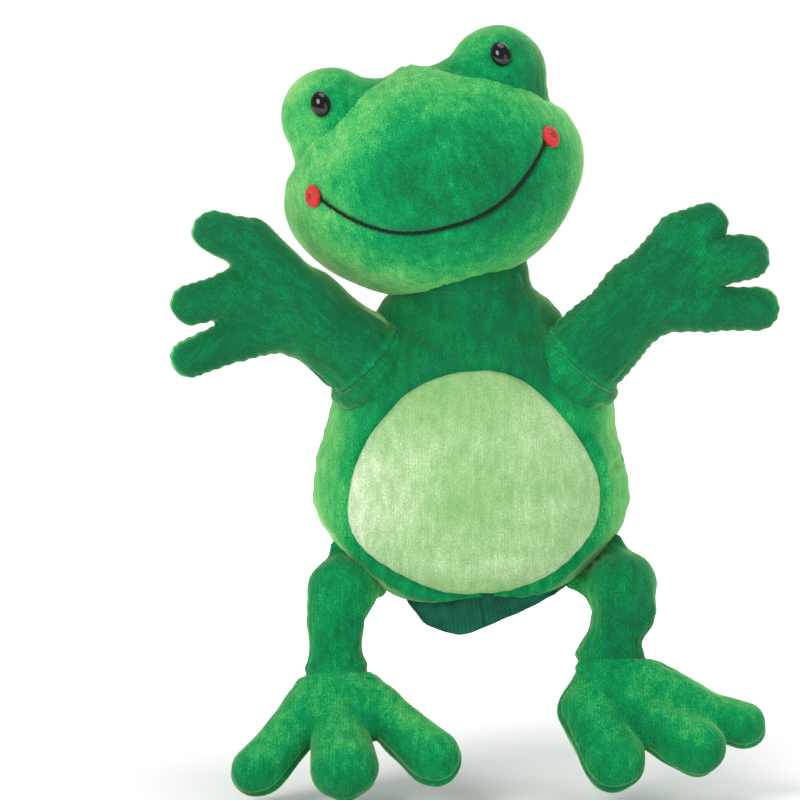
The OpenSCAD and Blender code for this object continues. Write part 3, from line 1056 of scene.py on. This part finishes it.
def inside_outline(p, outline):
    """Whether X, Z points lie inside a closed outline that is star-shaped round its middle."""
    middle = outline.mean(0)
    far = np.linalg.norm(outline - middle, axis=1)
    turn = np.arctan2(*(outline - middle).T[::-1])
    order = np.argsort(turn)
    own = p - middle
    reach = np.interp(np.arctan2(own[:, 1], own[:, 0]), turn[order], far[order], period=2 * math.pi)
    return np.linalg.norm(own, axis=1) / reach


def body_folds(points):
    """Folds and creases of the glove's front, sides and back, as heights."""
    flat = points[:, [0, 2]]
    front = points[:, 1] < 0
    lift = np.where(front, fold(flat, (-33, 121), (-4, 107), 3.6, 2.1), 0)
    lift += np.where(front, fold(flat, (-29, 112), (-10, 103), 3.0, -1.6), 0)
    lift += np.where(front, fold(flat, (-20, 121), (14, 116), 3.4, -1.1), 0)
    lift += np.where(front, fold(flat, (23, 124), (26, 96), 3.0, 1.1), 0)
    lift += np.where(front, fold(flat, (-2, 112), (-1, 96), 1.4, -0.7), 0)
    lift += np.where(front, fold(flat, (-60, 74), (-40, 63), 3.2, -1.1), 0)
    lift += np.where(front, fold(flat, (-62, 60), (-50, 50), 3.6, 1.0), 0)
    lift += np.where(front, fold(flat, (64, 58), (52, 53), 2.0, -2.0), 0)
    lift += np.where(front, fold(flat, (60, 76), (54, 66), 3.0, -0.9), 0)
    lift += np.where(front, fold(flat, (-60, 36), (-44, 22), 3.2, 0.9), 0)
    lift += np.where(front, fold(flat, (60, 36), (50, 24), 3.2, 0.8), 0)
    lift += np.where(front, 0, fold(flat, (-40, 96), (-8, 70), 5.0, -1.2))
    lift += np.where(front, 0, fold(flat, (42, 92), (12, 60), 5.0, -1.2))
    lift += np.where(front, 0, fold(flat, (-50, 50), (-20, 34), 5.0, 1.0))
    lift += np.where(front, 0, fold(flat, (52, 46), (16, 28), 5.0, 1.0))
    lift += np.where(front, 0, fold(flat, (0, 118), (0, 20), 1.3, -0.9))
    return lift


def make_body():
    around_it, up_it = 250, 104
    heights = np.concatenate([np.linspace(9, 4.4, 4), np.linspace(4, BODY_RINGS[-1, 0] - 0.2, up_it)])
    turns = np.linspace(0, 2 * math.pi, around_it, endpoint=False)
    turn, z = np.meshgrid(turns, heights)
    hem = np.arange(len(heights)) < 4
    points = body_spot(turn.ravel(), z.ravel()).reshape(*turn.shape, 3)
    tuck = np.where(hem, 2.4, 0)[:, None]
    edge = points[4]
    for i in range(4):
        points[i, :, :2] = edge[:, :2] * (1 - tuck[i, 0] / 40)
        points[i, :, 2] = heights[i]
    steps = np.linalg.norm(np.diff(points, axis=1, append=points[:, :1]), axis=2)
    run = np.cumsum(steps, axis=1) - steps
    run = np.where(run > run[:, -1:] / 2, run - run[:, -1:] - steps[:, -1:], run)
    cloth = np.stack([run, 0 * run, z], -1).reshape(-1, 3)
    index = np.arange(turn.size).reshape(turn.shape)
    right = np.roll(index, -1, axis=1)
    faces = np.stack([index[:-1], right[:-1], right[1:], index[1:]], -1).reshape(-1, 4)
    points = points.reshape(-1, 3)
    out = normals(points, faces)
    outline = belly_edge(160)
    closed = np.concatenate([outline, outline[:1]])
    flat = points[:, [0, 2]]
    front = points[:, 1] < 0
    gap, place = along(flat, closed)
    share = inside_outline(flat, outline)
    lift = body_folds(points)
    panel = np.where(front & (share < 1), -2.2 * np.clip(gap / 2.0, 0, 1), 0)
    rim = seam(gap, 1.3, 1.5, 0.9) + gathers(gap, place, 5, 6.4, 0.35, 3)
    lift += np.where(front, panel + np.where(share >= 0.995, rim, dent(gap, 1.3, 1.5)), 0)
    side_gap = np.abs(points[:, 1] - 2) * np.where(points[:, 2] < 100, 1, 3)
    lift += seam(side_gap, 1.1, 1.0, 0.4) + gathers(side_gap, points[:, 2], 6, 7.5, 0.3, 5)
    lift += dent(points[:, 2] - 10.5, 1.0, 0.5) * ~front
    lift += 0.9 * lumps(points, 26, 11) + 0.3 * lumps(points, 11, 12)
    lift *= np.clip((points[:, 2] - 2) / 4, 0.15, 1) * np.clip((140 - points[:, 2]) / 12, 0, 1)
    lift -= 1.8 * np.clip(points[:, 0] / 50 - 0.7, 0, 1) * np.exp(-(((points[:, 2] - 66) / 10) ** 2))
    lift += 0.9 * np.clip(-points[:, 0] / 50 - 0.7, 0, 1) * np.exp(-(((points[:, 2] - 42) / 14) ** 2))
    # Painted light on the glove: its sides below the chest are painted lighter as sheen, the top of the chest
    # painted darker as shade under the head, and the back gets 0.4 of both.
    across_share = np.abs(points[:, 0]) / BODY_W
    pile_tone_and_painted_light = 0.24 * np.clip((across_share - 0.72) / 0.2, 0, 1) * np.clip((92 - points[:, 2]) / 14, 0, 1)
    pile_tone_and_painted_light = pile_tone_and_painted_light - 0.13 * np.clip((points[:, 2] - 78) / 14, 0, 1) * np.clip((1.0 - across_share) / 0.3, 0, 1)
    pile_tone_and_painted_light = np.where(front, pile_tone_and_painted_light, 0.4 * pile_tone_and_painted_light)
    hem_wave = 1.1 * np.sin(3 * turn.ravel() + 0.7) * np.clip((14 - points[:, 2]) / 10, 0, 1)
    points = points + out * lift[:, None]
    points[:, 2] += hem_wave
    body = piece("glove_body", points, faces, GREEN, "glove", ["body_front", "body_back"], cloth, pile_tone_and_painted_light)
    make_belly(outline)


def make_belly(outline):
    """The belly panel lies in its seam and swells over the glove's front."""
    around_it, across = len(outline), 40
    middle = outline.mean(0)
    share = np.concatenate([np.linspace(0.012, 0.93, across - 7), np.linspace(0.945, 1.0, 7)])
    flat = middle + (outline - middle)[None] * share[:, None, None]
    x, z = flat[..., 0], flat[..., 1]
    wide, deep, centre = body_ring(z)
    y = -deep * np.sqrt(np.clip(1 - ((x - centre) / wide) ** 2, 0.01, 1))
    points = np.stack([x, y, z], -1)
    spot = np.concatenate([points.reshape(-1, 3), [points[0].mean(0)]])
    index = np.arange(x.size).reshape(x.shape)
    nxt = np.roll(index, -1, axis=1)
    faces = np.stack([index[:-1], nxt[:-1], nxt[1:], index[1:]], -1).reshape(-1, 4)
    out = -normals(spot, faces)
    if out[:, 1].mean() > 0:
        out = -out
    out[-1] = out[:around_it].mean(0)
    out /= np.linalg.norm(out, axis=1, keepdims=True)
    shares = np.append(np.repeat(share, around_it), 0)
    places = spot[:, [0, 2]]
    gap, place = along(places, np.concatenate([outline, outline[:1]]))
    lift = 0.9 + 2.2 * np.clip(1 - shares**2, 0, 1) ** 0.8
    lift -= 2.6 * np.exp(-((gap / 1.5) ** 2))
    lift += gathers(gap, place, 6, 5.8, 0.35, 6)
    lift += fold(places, (-1, 97), (0, 80), 1.8, -0.9)
    lift += fold(places, (3, 4), (1, 20), 2.4, -1.1) + fold(places, (-14, 6), (-6, 18), 2.4, 0.6)
    lift += fold(places, (16, 6), (10, 17), 2.6, 0.6)
    lift += fold(places, (-34, 74), (-22, 56), 3.4, -0.9) + fold(places, (-26, 80), (-12, 60), 5, 0.6)
    lift += fold(places, (36, 76), (22, 62), 4, -0.6) + fold(places, (48, 40), (32, 34), 4, -0.5)
    lift += fold(places, (-46, 20), (20, 10), 5, -0.6)
    lift += 0.55 * lumps(spot, 22, 21) + 0.16 * lumps(spot, 8, 22)
    spot = spot + out * lift[:, None]
    order = faces[:, ::-1] if belly_faces_back(spot, faces) else faces
    cap = [[index.size, index[0, j], index[0, (j + 1) % around_it]] for j in range(around_it)]
    if belly_faces_back(spot, np.array([c + [c[0]] for c in cap])):
        cap = [c[::-1] for c in cap]
    cloth = np.stack([arc(spot[:, 0], 66), 0 * spot[:, 1], spot[:, 2]], -1)
    # Painted light on the belly: painted highlight on its -x side towards the key light and along a low band,
    # painted sheen on its +x edge, painted shade at its top under the chin, and all 0.02 darker.
    pile_tone_and_painted_light = 0.16 * np.clip(-spot[:, 0] / 34 - 0.35, 0, 1) * np.clip(1.3 - np.abs(spot[:, 2] - 46) / 34, 0, 1)
    pile_tone_and_painted_light += 0.07 * np.clip(spot[:, 0] / 30 - 0.4, 0, 1) + 0.06 * np.exp(-(((spot[:, 2] - 18) / 7) ** 2))
    pile_tone_and_painted_light -= 0.05 * np.exp(-(((spot[:, 2] - 90) / 12) ** 2))
    shown = order.tolist() + cap
    obj = piece("belly_panel", spot, shown, PALE_GREEN, "glove", ["belly_patch"], cloth, pile_tone_and_painted_light - 0.02)


def belly_faces_back(points, faces):
    a = points[faces[:, 1]] - points[faces[:, 0]]
    b = points[faces[:, 2]] - points[faces[:, 1]]
    return np.cross(a, b)[:, 1].sum() > 0


def make_lining():
    """The lining hangs out of the glove as a slanted cuff and goes up inside it as a bag."""
    around_it = 180
    turns = np.linspace(0, 2 * math.pi, around_it, endpoint=False)
    x = 5 + 35.5 * np.sin(turns)
    left = 13.5 * (np.clip(-6 - x, 0, None) / 20) ** 3
    right = 18 * (np.clip(x + 6, 0, None) / 46) ** 1.15
    low = -9.8 + left + right + 0.6 * np.sin(9 * turns) * np.exp(-(left + right) / 6)
    rings = []
    for share in np.linspace(0, 1, 16):
        z = low + (11 - low) * share
        wide, deep = 35.5 - 1.5 * share, 32.5 + 0.5 * share
        rings.append(np.stack([5 * (1 - 0.6 * share) + wide * np.sin(turns), -deep * np.cos(turns), z], -1))
    for z in np.concatenate([np.linspace(14, 92, 36), [97]]):
        wide, deep, middle = body_ring(z)
        inset = 4.0 if z < 90 else 4.0 + (z - 90) * 1.6
        mix = np.clip((z - 11) / 10, 0, 1)
        wide = 34 + (wide - inset - 34) * mix
        deep = 33 + (deep - inset - 33) * mix
        rings.append(np.stack([middle + wide * np.sin(turns), -deep * np.cos(turns), z + 0 * turns], -1))
    rings = np.array(rings)
    index = np.arange(rings.shape[0] * around_it).reshape(-1, around_it)
    nxt = np.roll(index, -1, axis=1)
    faces = np.stack([index[:-1], nxt[:-1], nxt[1:], index[1:]], -1).reshape(-1, 4)
    points = rings.reshape(-1, 3)
    run = np.tile(turns * 34, rings.shape[0])
    cloth = np.stack([run, 0 * run, points[:, 2]], -1)
    edge = np.repeat(np.arange(rings.shape[0]), around_it)
    lift = 0.5 * lumps(points, 16, 31) + np.where(edge < 16, 0.35 * np.sin(run / 34 * 24), 0)
    lift += np.where(edge == 2, -0.4, 0) + np.where(edge < 2, 0.3, 0)
    points = points + normals(points, faces) * lift[:, None]
    middle = points[faces].mean(1)
    clear = np.min([np.linalg.norm(middle - joint(f"arm_swing_{side}"), axis=1) for side in SIDES], 0)
    faces = faces[clear > ARMHOLE_R]
    nodes = ["hand_lining_cuff", "hand_lining_front", "hand_lining_back"]
    lining = piece("hand_lining", points, faces, LINING, "glove", nodes, cloth)
    thick = lining.modifiers.new("thickness", "SOLIDIFY")
    thick.thickness = 0.0009
    thick.offset = 0


def make_neck():
    """A soft collar between the glove and the head, and the lining tube inside it. Both turn like a ball."""
    around_it = 150
    turns = np.linspace(0, 2 * math.pi, around_it, endpoint=False)
    for name, r, low, high, material, body, node, slot in (
        ("neck_collar", NECK_R + 0.2, 0.10, 0.62, GREEN, "neck_ring", "neck_band", "green_velour"),
        ("neck_tube", NECK_R - 3.4, -0.45, 0.75, LINING, "neck_tube", "neck_lining", "lining"),
    ):
        rise = np.linspace(low, high, 18)
        turn, lean = np.meshgrid(turns, rise)
        edge = np.clip(np.minimum(lean - low, high - lean) / 0.08, 0, 1)
        ruffle = 0.35 * np.sin(21 * turn) * np.sin(math.pi * (lean - low) / (high - low))
        size = r - 1.6 * (1 - edge) ** 2 + ruffle
        flat = np.cos(lean) * size
        points = np.stack([flat * np.sin(turn), -0.96 * flat * np.cos(turn), np.sin(lean) * size], -1) + NECK
        index = np.arange(turn.size).reshape(turn.shape)
        nxt = np.roll(index, -1, axis=1)
        faces = np.stack([index[:-1], nxt[:-1], nxt[1:], index[1:]], -1).reshape(-1, 4)
        cloth = np.stack([turn * r, 0 * turn, lean * r], -1).reshape(-1, 3)
        # The collar's colour is painted 0.14 darker, as shade under the chin; the lining's material does not
        # read this value.
        obj = piece(name, points.reshape(-1, 3), faces, material, body, [node], cloth, -0.14)
        thick = obj.modifiers.new("thickness", "SOLIDIFY")
        thick.thickness = 0.0012
        thick.offset = -1


# ---- arms ----


def arm_parts(side):
    shoulder = joint(f"arm_swing_{side}")
    shape = HANDS[side]
    wrist = shoulder + shape["wrist"]
    knuckles = [shoulder + k for k in shape["knuckles"]]
    tips = [shoulder + np.array(t) for t in shape["tips"]]
    way = (wrist - shoulder) / np.linalg.norm(wrist - shoulder)
    return shoulder, wrist, knuckles, tips, way


def arm_field(side):
    shoulder, wrist, knuckles, tips, way = arm_parts(side)
    start = shoulder - 9.0 * way
    shape = HANDS[side]
    root = shoulder + shape["lift"]

    def field(p):
        d = cone(p, root, wrist, SHOULDER_R - 1.6, WRIST_R[side])
        palm = None
        for knuckle, r in zip(knuckles, shape["knuckle_r"]):
            part = cone(p, wrist, knuckle, WRIST_R[side] - 0.6, r + 0.6)
            palm = part if palm is None else join(palm, part, 4)
        d = join(d, palm, 5)
        fingers = None
        for knuckle, tip, r, end_r in zip(knuckles, tips, shape["knuckle_r"], shape["tip_r"]):
            part = cone(p, knuckle, tip, r, end_r)
            fingers = part if fingers is None else join(fingers, part, 1.5)
        d = join(d, fingers, 2.0)
        return cut(d, (start - p) @ way, 2.4)

    return field


def arm_held(side):
    shoulder, wrist, knuckles, tips, way = arm_parts(side)
    flat = np.array([knuckles[0], knuckles[2], tips[1]])
    across = np.cross(flat[1] - flat[0], flat[2] - flat[0])
    across /= np.linalg.norm(across)

    def held(p):
        root = np.clip((5 - (p - shoulder) @ way) / 4, 0, 1)
        edge = np.exp(-(((p - wrist) @ across / 2.6) ** 2))
        return root + 0.9 * edge

    return held


def make_arm(side):
    shoulder, wrist, knuckles, tips, _ = arm_parts(side)
    low, high = around((shoulder, 21), (wrist, 18), *[(t, 10) for t in tips], *[(k, 12) for k in knuckles])
    return Stuffed(f"arm_{side}", arm_field(side), low, high, 1.25, arm_held(side), cap=2.0)


def finish_arm(side, arm):
    s = SIDES[side]
    shoulder, wrist, knuckles, tips, way = arm_parts(side)
    points, faces = arm.swelled(), arm.faces
    out = normals(points, faces)
    flat = np.array([knuckles[0], knuckles[2], tips[1]])
    across = np.cross(flat[1] - flat[0], flat[2] - flat[0])
    across /= np.linalg.norm(across)
    if across[1] > 0:
        across = -across
    off = (points - wrist) @ across
    far = (points - shoulder) @ way
    lift = seam(off - 0.2, 1.2, 0.6, 0.2) + gathers(np.abs(off), points[:, 2] + points[:, 0], 5, 5.2, 0.35, 9)
    lift += dent(far - 5.2, 1.0, 0.55) + 0.35 * np.exp(-(((far - 3.0) / 1.4) ** 2))
    side_way = np.cross(way, (0, 1, 0))
    side_way *= np.sign(side_way[2])
    high = (points - shoulder) @ side_way
    turn = np.arctan2(high, (points - shoulder) @ np.cross(side_way, way))
    lift += gathers(np.abs(far - 4), turn * 18, 9, 7.0, 0.45, 12)
    for a, b in ((0, 1), (1, 2)):
        valley = (knuckles[a] + knuckles[b]) / 2
        ends = (tips[a] + tips[b]) / 2
        crease_start = wrist + 0.45 * (valley - wrist) - (0, 12, 0)
        crease_end = valley + 0.1 * (ends - valley) - (0, 10, 0)
        lift += fold(points, crease_start, crease_end, 3.6, -1.5)
    front = points[:, 1] < wrist[1]
    palm = (knuckles[0] + knuckles[2]) / 2
    base = wrist + 0.5 * (palm - wrist)
    reach = 13.0
    elbow = wrist - 5 * way
    for crease_start, crease_end, width, height in (
        (base + side_way * reach - (0, 13, 0), base - side_way * reach * 0.6 - (0, 14, 0), 2.6, -0.9),
        (elbow - side_way * 15 - (0, 8, 0), elbow - side_way * 2 - (0, 17, 0), 3.0, -0.9),
        (elbow + side_way * 16 - (0, 6, 0), elbow + side_way * 5 - (0, 15, 0), 3.0, -0.6),
    ):
        lift += np.where(front, fold(points, crease_start, crease_end, width, height), 0)
    lift += 0.5 * lumps(points, 18, 41 + s) + 0.18 * lumps(points, 8, 43 + s)
    lift = np.where(far < 2, np.minimum(lift, 0) - 0.9, lift)
    points = points + out * lift[:, None]
    cloth = np.stack([arc(high, 24), off, far], -1) + (40 * s, 0, 9)
    nodes = [f"arm_front_{side}", f"arm_back_{side}", f"hand_stuffing_{side}"]
    near_tip = np.min([np.linalg.norm(points - t, axis=1) for t in tips], 0)
    # Painted light on the arm: painted sheen along its edge seam near the fingertips, a painted highlight on
    # the roll by its shoulder seam, and the rest painted 0.14 darker as shade.
    pile_tone_and_painted_light = 0.30 * np.exp(-((off / 2.6) ** 2)) * np.clip(2.2 - near_tip / 9, 0, 1) - 0.14
    pile_tone_and_painted_light += 0.10 * np.exp(-(((far - 3) / 1.8) ** 2))
    obj = piece(f"arm_skin_{side}", points, faces, GREEN, f"arm_{side}", nodes, cloth, pile_tone_and_painted_light)


def make_sleeve(side):
    """The stub of sleeve between the armhole and the arm's seam.

    It is a ball-shaped skin that turns in the armhole.
    """
    s = SIDES[side]
    shoulder, _, _, _, way = arm_parts(side)

    def field(p):
        return cut(ball(p, shoulder, SHOULDER_R + 0.25), (p - shoulder) @ way - 2.2, 2.0)

    points, faces = skin(field, *around((shoulder, SHOULDER_R)), 1.3, 4)
    far = (points - shoulder) @ way
    side_way = np.cross(way, (0, 1, 0))
    high = (points - shoulder) @ side_way
    turn = np.arctan2(high, (points - shoulder) @ np.cross(side_way, way))
    lift = 0.45 * np.exp(-(((far + 2.0) / 1.5) ** 2)) + dent(far + 5.0, 1.0, 0.5)
    lift += gathers(np.abs(far), turn * 18, 12, 6.0, 0.35, 14 + s)
    points = points + normals(points, faces) * lift[:, None]
    cloth = np.stack([arc(high, 24), 0 * high, far], -1) + (40 * s, 0, 9)
    sleeve = f"sleeve_{side}"
    # The sleeve stub's colour is painted 0.08 darker, as shade in the armhole.
    obj = piece(f"sleeve_skin_{side}", points, faces, GREEN, sleeve, [sleeve], cloth, -0.08)


# ---- legs ----


def leg_parts(side):
    knee = joint(f"knee_{side}")
    shape = LEGS[side]
    return {
        "knee": knee,
        "hip": [knee + h for h in shape["hip"]],
        "thigh": knee + shape["thigh"],
        "bend": knee + shape["bend"],
        "ankle": knee + shape["ankle"],
        "roots": [knee + r for r in shape["roots"]],
        "tips": [knee + t for t in shape["tips"]],
        "tip_r": shape["tip_r"],
    }


def leg_fields(side):
    """The fields of thigh, shin and foot, which share one outline and are cut at the knee and the ankle."""
    leg = leg_parts(side)
    shape = LEGS[side]
    knee, ankle = leg["knee"], leg["ankle"]
    down = (ankle - knee) / np.linalg.norm(ankle - knee)
    knee_way = down + (leg["knee"] - leg["thigh"]) / np.linalg.norm(leg["knee"] - leg["thigh"])
    knee_way /= np.linalg.norm(knee_way)
    foot_way = np.mean(leg["roots"], 0) - ankle
    foot_way = foot_way / np.linalg.norm(foot_way) + down
    foot_way /= np.linalg.norm(foot_way)

    def whole(p):
        d = None
        for hip in leg["hip"]:
            part = cone(p, hip, leg["thigh"], 3.0, shape["thigh_r"] - 0.4)
            d = part if d is None else join(d, part, 3)
        d = join(d, cone(p, leg["thigh"], leg["bend"], shape["thigh_r"], shape["bend_r"]), 3)
        d = join(d, cone(p, leg["bend"], ankle, shape["bend_r"], 9.8), 3)
        web = [(leg["roots"][i] + leg["roots"][i + 1]) / 2 for i in (0, 1)]
        foot = cone(p, ankle, leg["roots"][1], 9.4, 10.8)
        for root in (leg["roots"][0], leg["roots"][2], *web):
            foot = join(foot, cone(p, ankle, root, 9.4, 10.0), 4)
        for root, tip, r, end_r in zip(leg["roots"], leg["tips"], shape["root_r"], shape["tip_r"]):
            foot = join(foot, cone(p, root, tip, r, end_r), 2.6)
        return join(d, foot, 4)

    def thigh(p):
        return cut(whole(p), (p - knee) @ knee_way - OVERLAP, 1.0)

    def shin(p):
        above = -(p - knee) @ knee_way - OVERLAP
        return cut(cut(whole(p), above, 1.0), (p - ankle) @ foot_way - OVERLAP, 1.0)

    def foot(p):
        return cut(whole(p), -(p - ankle) @ foot_way - OVERLAP, 1.0)

    return {"thigh": thigh, "shin": shin, "foot": foot}, knee_way, foot_way


def make_leg(side):
    leg = leg_parts(side)
    fields, knee_way, foot_way = leg_fields(side)
    knee, ankle = leg["knee"], leg["ankle"]
    tips = [(t, r) for t, r in zip(leg["tips"], leg["tip_r"])]
    flat = np.cross(leg["tips"][2] - leg["tips"][0], np.mean(leg["tips"], 0) - ankle)
    flat /= np.linalg.norm(flat)

    def thigh_held(p):
        at_knee = np.clip(1.5 - np.abs((p - knee) @ knee_way) / 3, 0, 1)
        return at_knee + np.clip(1 - along(p, leg["hip"])[0] / 7, 0, 1)

    def shin_held(p):
        ends = np.clip(1.5 - np.abs((p - knee) @ knee_way) / 3, 0, 1)
        return ends + np.clip(1.5 - np.abs((p - ankle) @ foot_way) / 3, 0, 1)

    def foot_held(p):
        ankle_seam = np.clip(1.5 - np.abs((p - ankle) @ foot_way) / 3, 0, 1)
        return ankle_seam + 0.9 * np.exp(-(((p - np.mean(leg["tips"], 0)) @ flat / 2.8) ** 2))

    boxes = {
        "thigh": around((leg["thigh"], 12), (knee, 12), *[(h, 5) for h in leg["hip"]]),
        "shin": around((knee, 13), (ankle, 12)),
        "foot": around((ankle, 12), *[(r, 12) for r in leg["roots"]], *tips),
    }
    helds = {"thigh": thigh_held, "shin": shin_held, "foot": foot_held}
    caps = {"thigh": 1.4, "shin": 1.4, "foot": 2.0}
    out = {}
    for part, field in fields.items():
        low, high = boxes[part]
        out[part] = Stuffed(f"{part}_{side}", field, low, high, 1.15, helds[part], cap=caps[part])
    return out


def finish_leg(side, parts):
    s = SIDES[side]
    leg = leg_parts(side)
    _, knee_way, foot_way = leg_fields(side)
    knee, ankle = leg["knee"], leg["ankle"]
    hip = np.mean(leg["hip"], 0)
    flat = np.cross(leg["tips"][2] - leg["tips"][0], np.mean(leg["tips"], 0) - ankle)
    flat /= np.linalg.norm(flat)
    if flat[1] > 0:
        flat = -flat
    middle = np.mean(leg["tips"], 0)
    thigh_reach = 9 * (leg["thigh"] - hip) / np.linalg.norm(leg["thigh"] - hip)
    joins = {
        "thigh": ("glove", f"thigh_{side}", hip, hip + thigh_reach),
        "shin": (f"thigh_{side}", f"shin_{side}", knee, knee + 9 * knee_way),
        "foot": (f"shin_{side}", f"foot_{side}", ankle, ankle + 9 * foot_way),
    }
    nodes = {
        "thigh": [f"thigh_skin_{side}", f"thigh_stuffing_{side}"],
        "shin": [f"shin_skin_{side}", f"shin_stuffing_{side}"],
        "foot": [f"foot_top_{side}", f"foot_sole_{side}", f"foot_stuffing_{side}"],
    }
    for part, item in parts.items():
        points, faces = item.swelled(), item.faces
        out = normals(points, faces)
        at_knee, at_ankle = (points - knee) @ knee_way, (points - ankle) @ foot_way
        turn = np.arctan2(points[:, 0] - knee[0], knee[1] - points[:, 1]) * 11
        lift = dent(at_knee, 1.6, 0.3) + gathers(np.abs(at_knee), turn, 7, 5.0, 0.35, 15 + s)
        lift += seam(at_ankle, 1.2, 1.0, 0.4) + gathers(np.abs(at_ankle), turn, 7, 4.6, 0.5, 16 + s)
        if part == "shin":
            lift -= 0.7 * np.clip(0.3 - at_knee, 0, 1)
        if part == "foot":
            lift -= 0.7 * np.clip(0.3 - at_ankle, 0, 1)
        if part == "thigh":
            hips, place = along(points, leg["hip"])
            lift += gathers(hips, place, 9, 5.5, 0.7, 17)
        inner = knee + (-s * 11, -4, 2)
        lift += fold(points, inner + (0, 0, 4), inner + (s * 12, -5, 1), 1.8, -1.4)
        lift += fold(points, inner + (0, 0, -4), inner + (s * 10, -6, -3), 1.8, -0.9)
        if part == "foot":
            off = (points - middle) @ flat - 0.4
            lift += seam(off, 1.2, 0.7, 0.2) + gathers(np.abs(off), turn, 5, 5.0, 0.4, 18)
            for a, b in ((0, 1), (1, 2)):
                valley = (leg["roots"][a] + leg["roots"][b]) / 2
                ends = (leg["tips"][a] + leg["tips"][b]) / 2
                start = ankle + 0.5 * (valley - ankle)
                crease_end = valley + 0.3 * (ends - valley) - (0, 9, -5)
                lift += fold(points, start - (0, 10, -4), crease_end, 3.8, -2.0)
        lift += 0.6 * lumps(points, 14, 51 + s) + 0.25 * lumps(points, 6, 53 + s)
        points = points + out * lift[:, None]
        from_knee = points - knee
        cloth = np.stack([arc(from_knee[:, 0], 90), from_knee[:, 1], from_knee[:, 2]], -1)
        cloth = cloth + (60 * s, 0, 0)
        # Painted light on the legs: a foot's upward-facing top is painted lighter as light from above, a
        # thigh's and shin's sides painted lighter as sheen, and the +x leg's thigh and shin painted 0.10
        # darker as the body's shadow; the rest is 0.03 darker.
        painted_light_share = out[:, 2] if part == "foot" else np.abs(from_knee[:, 0]) / 12 - 0.6
        painted_light_share = np.clip(painted_light_share, 0, 1)
        pile_tone_and_painted_light = (-0.10 if s == 1 and part != "foot" else -0.03) + 0.16 * painted_light_share
        obj = piece(f"{part}_cloth_{side}", points, faces, GREEN, None, nodes[part], cloth, pile_tone_and_painted_light)
        body_a, body_b, start, end = joins[part]
        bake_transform(obj)


# ---- what lies inside ----


def dress_inside():
    """Stuffing, washers and finger tubes keep their CAD shape inside the skins, in their own materials."""
    for name, node in frame["nodes"].items():
        if "stuffing" in name or "washer" in name:
            material = STUFFING
        elif "finger_tube" in name:
            material = LINING
        else:
            continue
        mesh = node.data
        layer = mesh.attributes.new("cloth", "FLOAT_VECTOR", "POINT")
        spots = np.empty(len(mesh.vertices) * 3)
        mesh.vertices.foreach_get("co", spots)
        layer.data.foreach_set("vector", spots)
        mesh.materials.clear()
        mesh.materials.append(material)


def main():
    add_camera()
    add_floor()
    add_light("key", (-0.9, -1.3, 1.1), 0.9, 19, (1.0, 0.99, 0.96))
    add_light("fill", (1.1, -1.2, 0.4), 1.2, 5)
    add_light("top", (0.1, -0.1, 1.5), 1.0, 7)
    add_light("back", (0.5, 1.0, 0.9), 0.9, 5)
    add_world()
    SCENE.view_settings.view_transform = "Standard"

    head, mounds = make_head()
    arms = {side: make_arm(side) for side in SIDES}
    legs = {side: make_leg(side) for side in SIDES}
    simulate()
    finish_head(head, mounds)
    make_eyes()
    make_mouth()
    make_dots()
    make_body()
    make_lining()
    make_neck()
    for side in SIDES:
        make_sleeve(side)
        finish_arm(side, arms[side])
        finish_leg(side, legs[side])
    dress_inside()


main()
